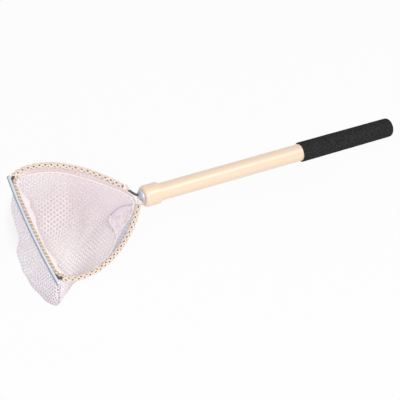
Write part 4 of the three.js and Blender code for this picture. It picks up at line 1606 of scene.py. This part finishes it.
def hem_finish():
    """Lilac like the netting, and painted bluer on the near side as painted shade. The front is cream, and
    pinker on the far side.
    """
    finish = Finish("hem_band", sheen_weight=0.2)
    x, y = finish.axes("XY")
    cloud = finish.noise(60)
    weave = finish.noise(1500, detail=1)
    # the near side's bluer colour is painted shade
    shaded_lilac = finish.mix(y * 25 + cloud * 0.6 + 0.2, srgb(196, 196, 212), srgb(226, 210, 213))
    cream = finish.mix(y * 14 + 0.5, srgb(255, 241, 232), srgb(250, 238, 241))
    out = HOOP_X - x - CREAM_FROM_OUT
    finish.set(
        base_color=finish.mix(out * 50 + cloud * 0.4, shaded_lilac, cream),
        roughness=weave * 0.15 + 0.65,
        normal=finish.bump(weave, 0.2 * MM, 0.6),
    )
    return finish


def soft_edge_finish(name, scale, dark, light, sheen):
    return cloudy_finish(name, scale, dark, light, rough=(0.6, 0.2), contrast=1.6, sheen_weight=sheen)


def add_band(finish, edge_finish):
    section = np.concatenate([hem_face, (hem_face - hem_inwards * HEM_THICKNESS)[:, ::-1]], axis=1)
    shell = Shell().add(section, looped=True).add(front_flap())
    band = shell.piece("hem_band", finish, "hem", "net_hem")
    roll = Shell().add(edge_roll(hem_face, hem_inwards), looped=True)
    return band, roll.piece("hem_edge", edge_finish, "hem")


pale_edge = soft_edge_finish("hem_edge", 90, srgb(240, 228, 232), srgb(254, 246, 242), sheen=0.2)
band, edge = add_band(hem_finish(), pale_edge)

# %% [markdown]
# ## The loose fold at the rear
#
# On the near side of the rear some netting is slack and lies over itself as a flat loose fold. It has two
# edges, drawn by a few points in the hoop's plane, and it sinks a little towards its end. Being doubled, it
# only shows its holes as a faint pattern. Along its inner edge, where it turns under, a painted shadow makes
# a dark line, and further on the edge is pale.

# %% Rear fold
FOLD_INNER = (
    (12, -6.6), (18, -7.3), (24, -6.2), (30, -5.6), (38, -7), (48, -10.2),
    (57, -16.8), (60, -22), (59, -30), (58.4, -36.5), (60, -44), (62, -49.3),
)
FOLD_OUTER = ((11, -8), (18, -12), (31.7, -22.4), (40, -32), (49.7, -43.9), (58, -52))
FOLD_SHADOW_SHARE = 0.6
FOLD_PALE_SHARE = 0.5
FOLD_BELOW = (0.5 * MM, 5 * MM)
FOLD_SHIFT = (-0.52, 0.42)
FOLD_THICKNESS = 1.3 * MM
FOLD_EDGE_RADIUS = 0.8 * MM
FOLD_RINGS = 60
FOLD_SIDES = 20
FOLD_TAPER = 8
FOLD_SWELL = 0.5
FOLD_SWELL_SHARE = 0.22


def rear_fold():
    """Rings of the loose fold at the near rear, and the line of its inner edge."""
    share = np.linspace(0, 1, FOLD_RINGS)
    sides = [Track(np.array(side) * MM) for side in (FOLD_INNER, FOLD_OUTER)]
    inner, outer = (side.at(share * side.length) for side in sides)
    below = np.linspace(*FOLD_BELOW, FOLD_RINGS)[:, None]
    middle, half = (inner + outer) / 2 + below * FOLD_SHIFT, (inner - outer) / 2
    angles = ring_angles(FOLD_SIDES)
    ends = blunt_ends(FOLD_RINGS, 1.0, FOLD_TAPER)[:, None]
    flat = middle[:, None] + half[:, None] * (ends * np.cos(angles))[..., None]
    swell = 1 + FOLD_SWELL * wander(share, FOLD_SWELL_SHARE, 4.0)[:, None]
    high = ends * swell * FOLD_THICKNESS * np.sin(angles) - below
    return in_part(flat[..., 0], flat[..., 1], high), in_part(*flat[:, 0].T, high[:, 0])


def fold_finish():
    finish = Finish("loose_fold", sheen_weight=0.2)
    cloud, cells = finish.noise(55), finish.cells(260)
    finish.set(
        base_color=finish.mix(cloud * 1.2 + cells * 1.3 - 0.75, srgb(241, 226, 229), srgb(216, 201, 208)),
        roughness=cloud * 0.2 + 0.6,
        normal=finish.bump(cells, 0.4 * MM, 0.6),
    )
    return finish


def add_fold_edge(name, line, finish):
    rings = tube_rings(line, blunt_ends(len(line), FOLD_EDGE_RADIUS, FOLD_TAPER))
    return Shell().add(rings).piece(name, finish, "hem")


def add_fold(finish, dark, pale):
    rings, line = rear_fold()
    return [
        Shell().add(rings).piece("hem_fold", finish, "hem"),
        # the first part of the inner edge wears a painted shadow, where the fold turns under
        add_fold_edge("hem_fold_shadow", line[: int(FOLD_SHADOW_SHARE * len(line))], dark),
        add_fold_edge("hem_fold_rim", line[int(FOLD_PALE_SHARE * len(line)) :], pale),
    ]


# dark lilac: the painted shadow under the fold's inner edge
fold_shadow_finish = soft_edge_finish("painted_fold_shadow", 120, srgb(160, 158, 184), srgb(198, 194, 212), sheen=0.1)
with_pieces = [edge, *add_fold(fold_finish(), fold_shadow_finish, pale_edge)]
print("hem:", len(with_pieces), "more pieces belong to its band")

# %% [markdown]
# ## The stitching
#
# A row of short tan threads holds the hem. Each stitch is a small tube that lies on the face of the band, at
# the same share of its height all round. The hem's length takes a whole number of stitches, so they are
# spaced evenly and none is cut short.

# %% Stitches
STITCH_SHARE = 0.72
STITCH_LENGTH = 5.2 * MM
STITCH_GAP = 1.0 * MM
STITCH_RINGS = 9
THREAD_RADIUS = 0.42 * MM
THREAD_PROUD = 0.6


def add_stitches(finish):
    row = STITCH_SHARE * (HEM_ROWS - 1)
    low = int(row)
    line = hem_face[:, low] + (hem_face[:, low + 1] - hem_face[:, low]) * (row - low)
    track = Track(closed(line + hem_inwards[:, low] * THREAD_RADIUS * THREAD_PROUD))
    count = int(track.length / (STITCH_LENGTH + STITCH_GAP))
    shell = Shell()
    for start in track.length * np.arange(count) / count:
        points = track.at(np.linspace(start, start + STITCH_LENGTH, STITCH_RINGS))
        shell.add(tube_rings(points, blunt_ends(STITCH_RINGS, THREAD_RADIUS), STRAND_SIDES))
    shell.piece("hem_stitches", finish, "thread", "hem_thread")
    print("stitching:", count, "stitches")


tan = srgb(222, 200, 168), srgb(242, 226, 200)
add_stitches(cloudy_finish("sewing_thread", 300, *tan, rough=(0.55, 0.2), detail=2, sheen_weight=0.1))

# %% [markdown]
# ## Sizes
#
# Both boxes are printed, the frame's and the dressed net's.

# %% Boxes
sizes = {"cad": [list(corner) for corner in cad_box], "visual": [list(corner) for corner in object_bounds()]}
print("sizes:", sizes)
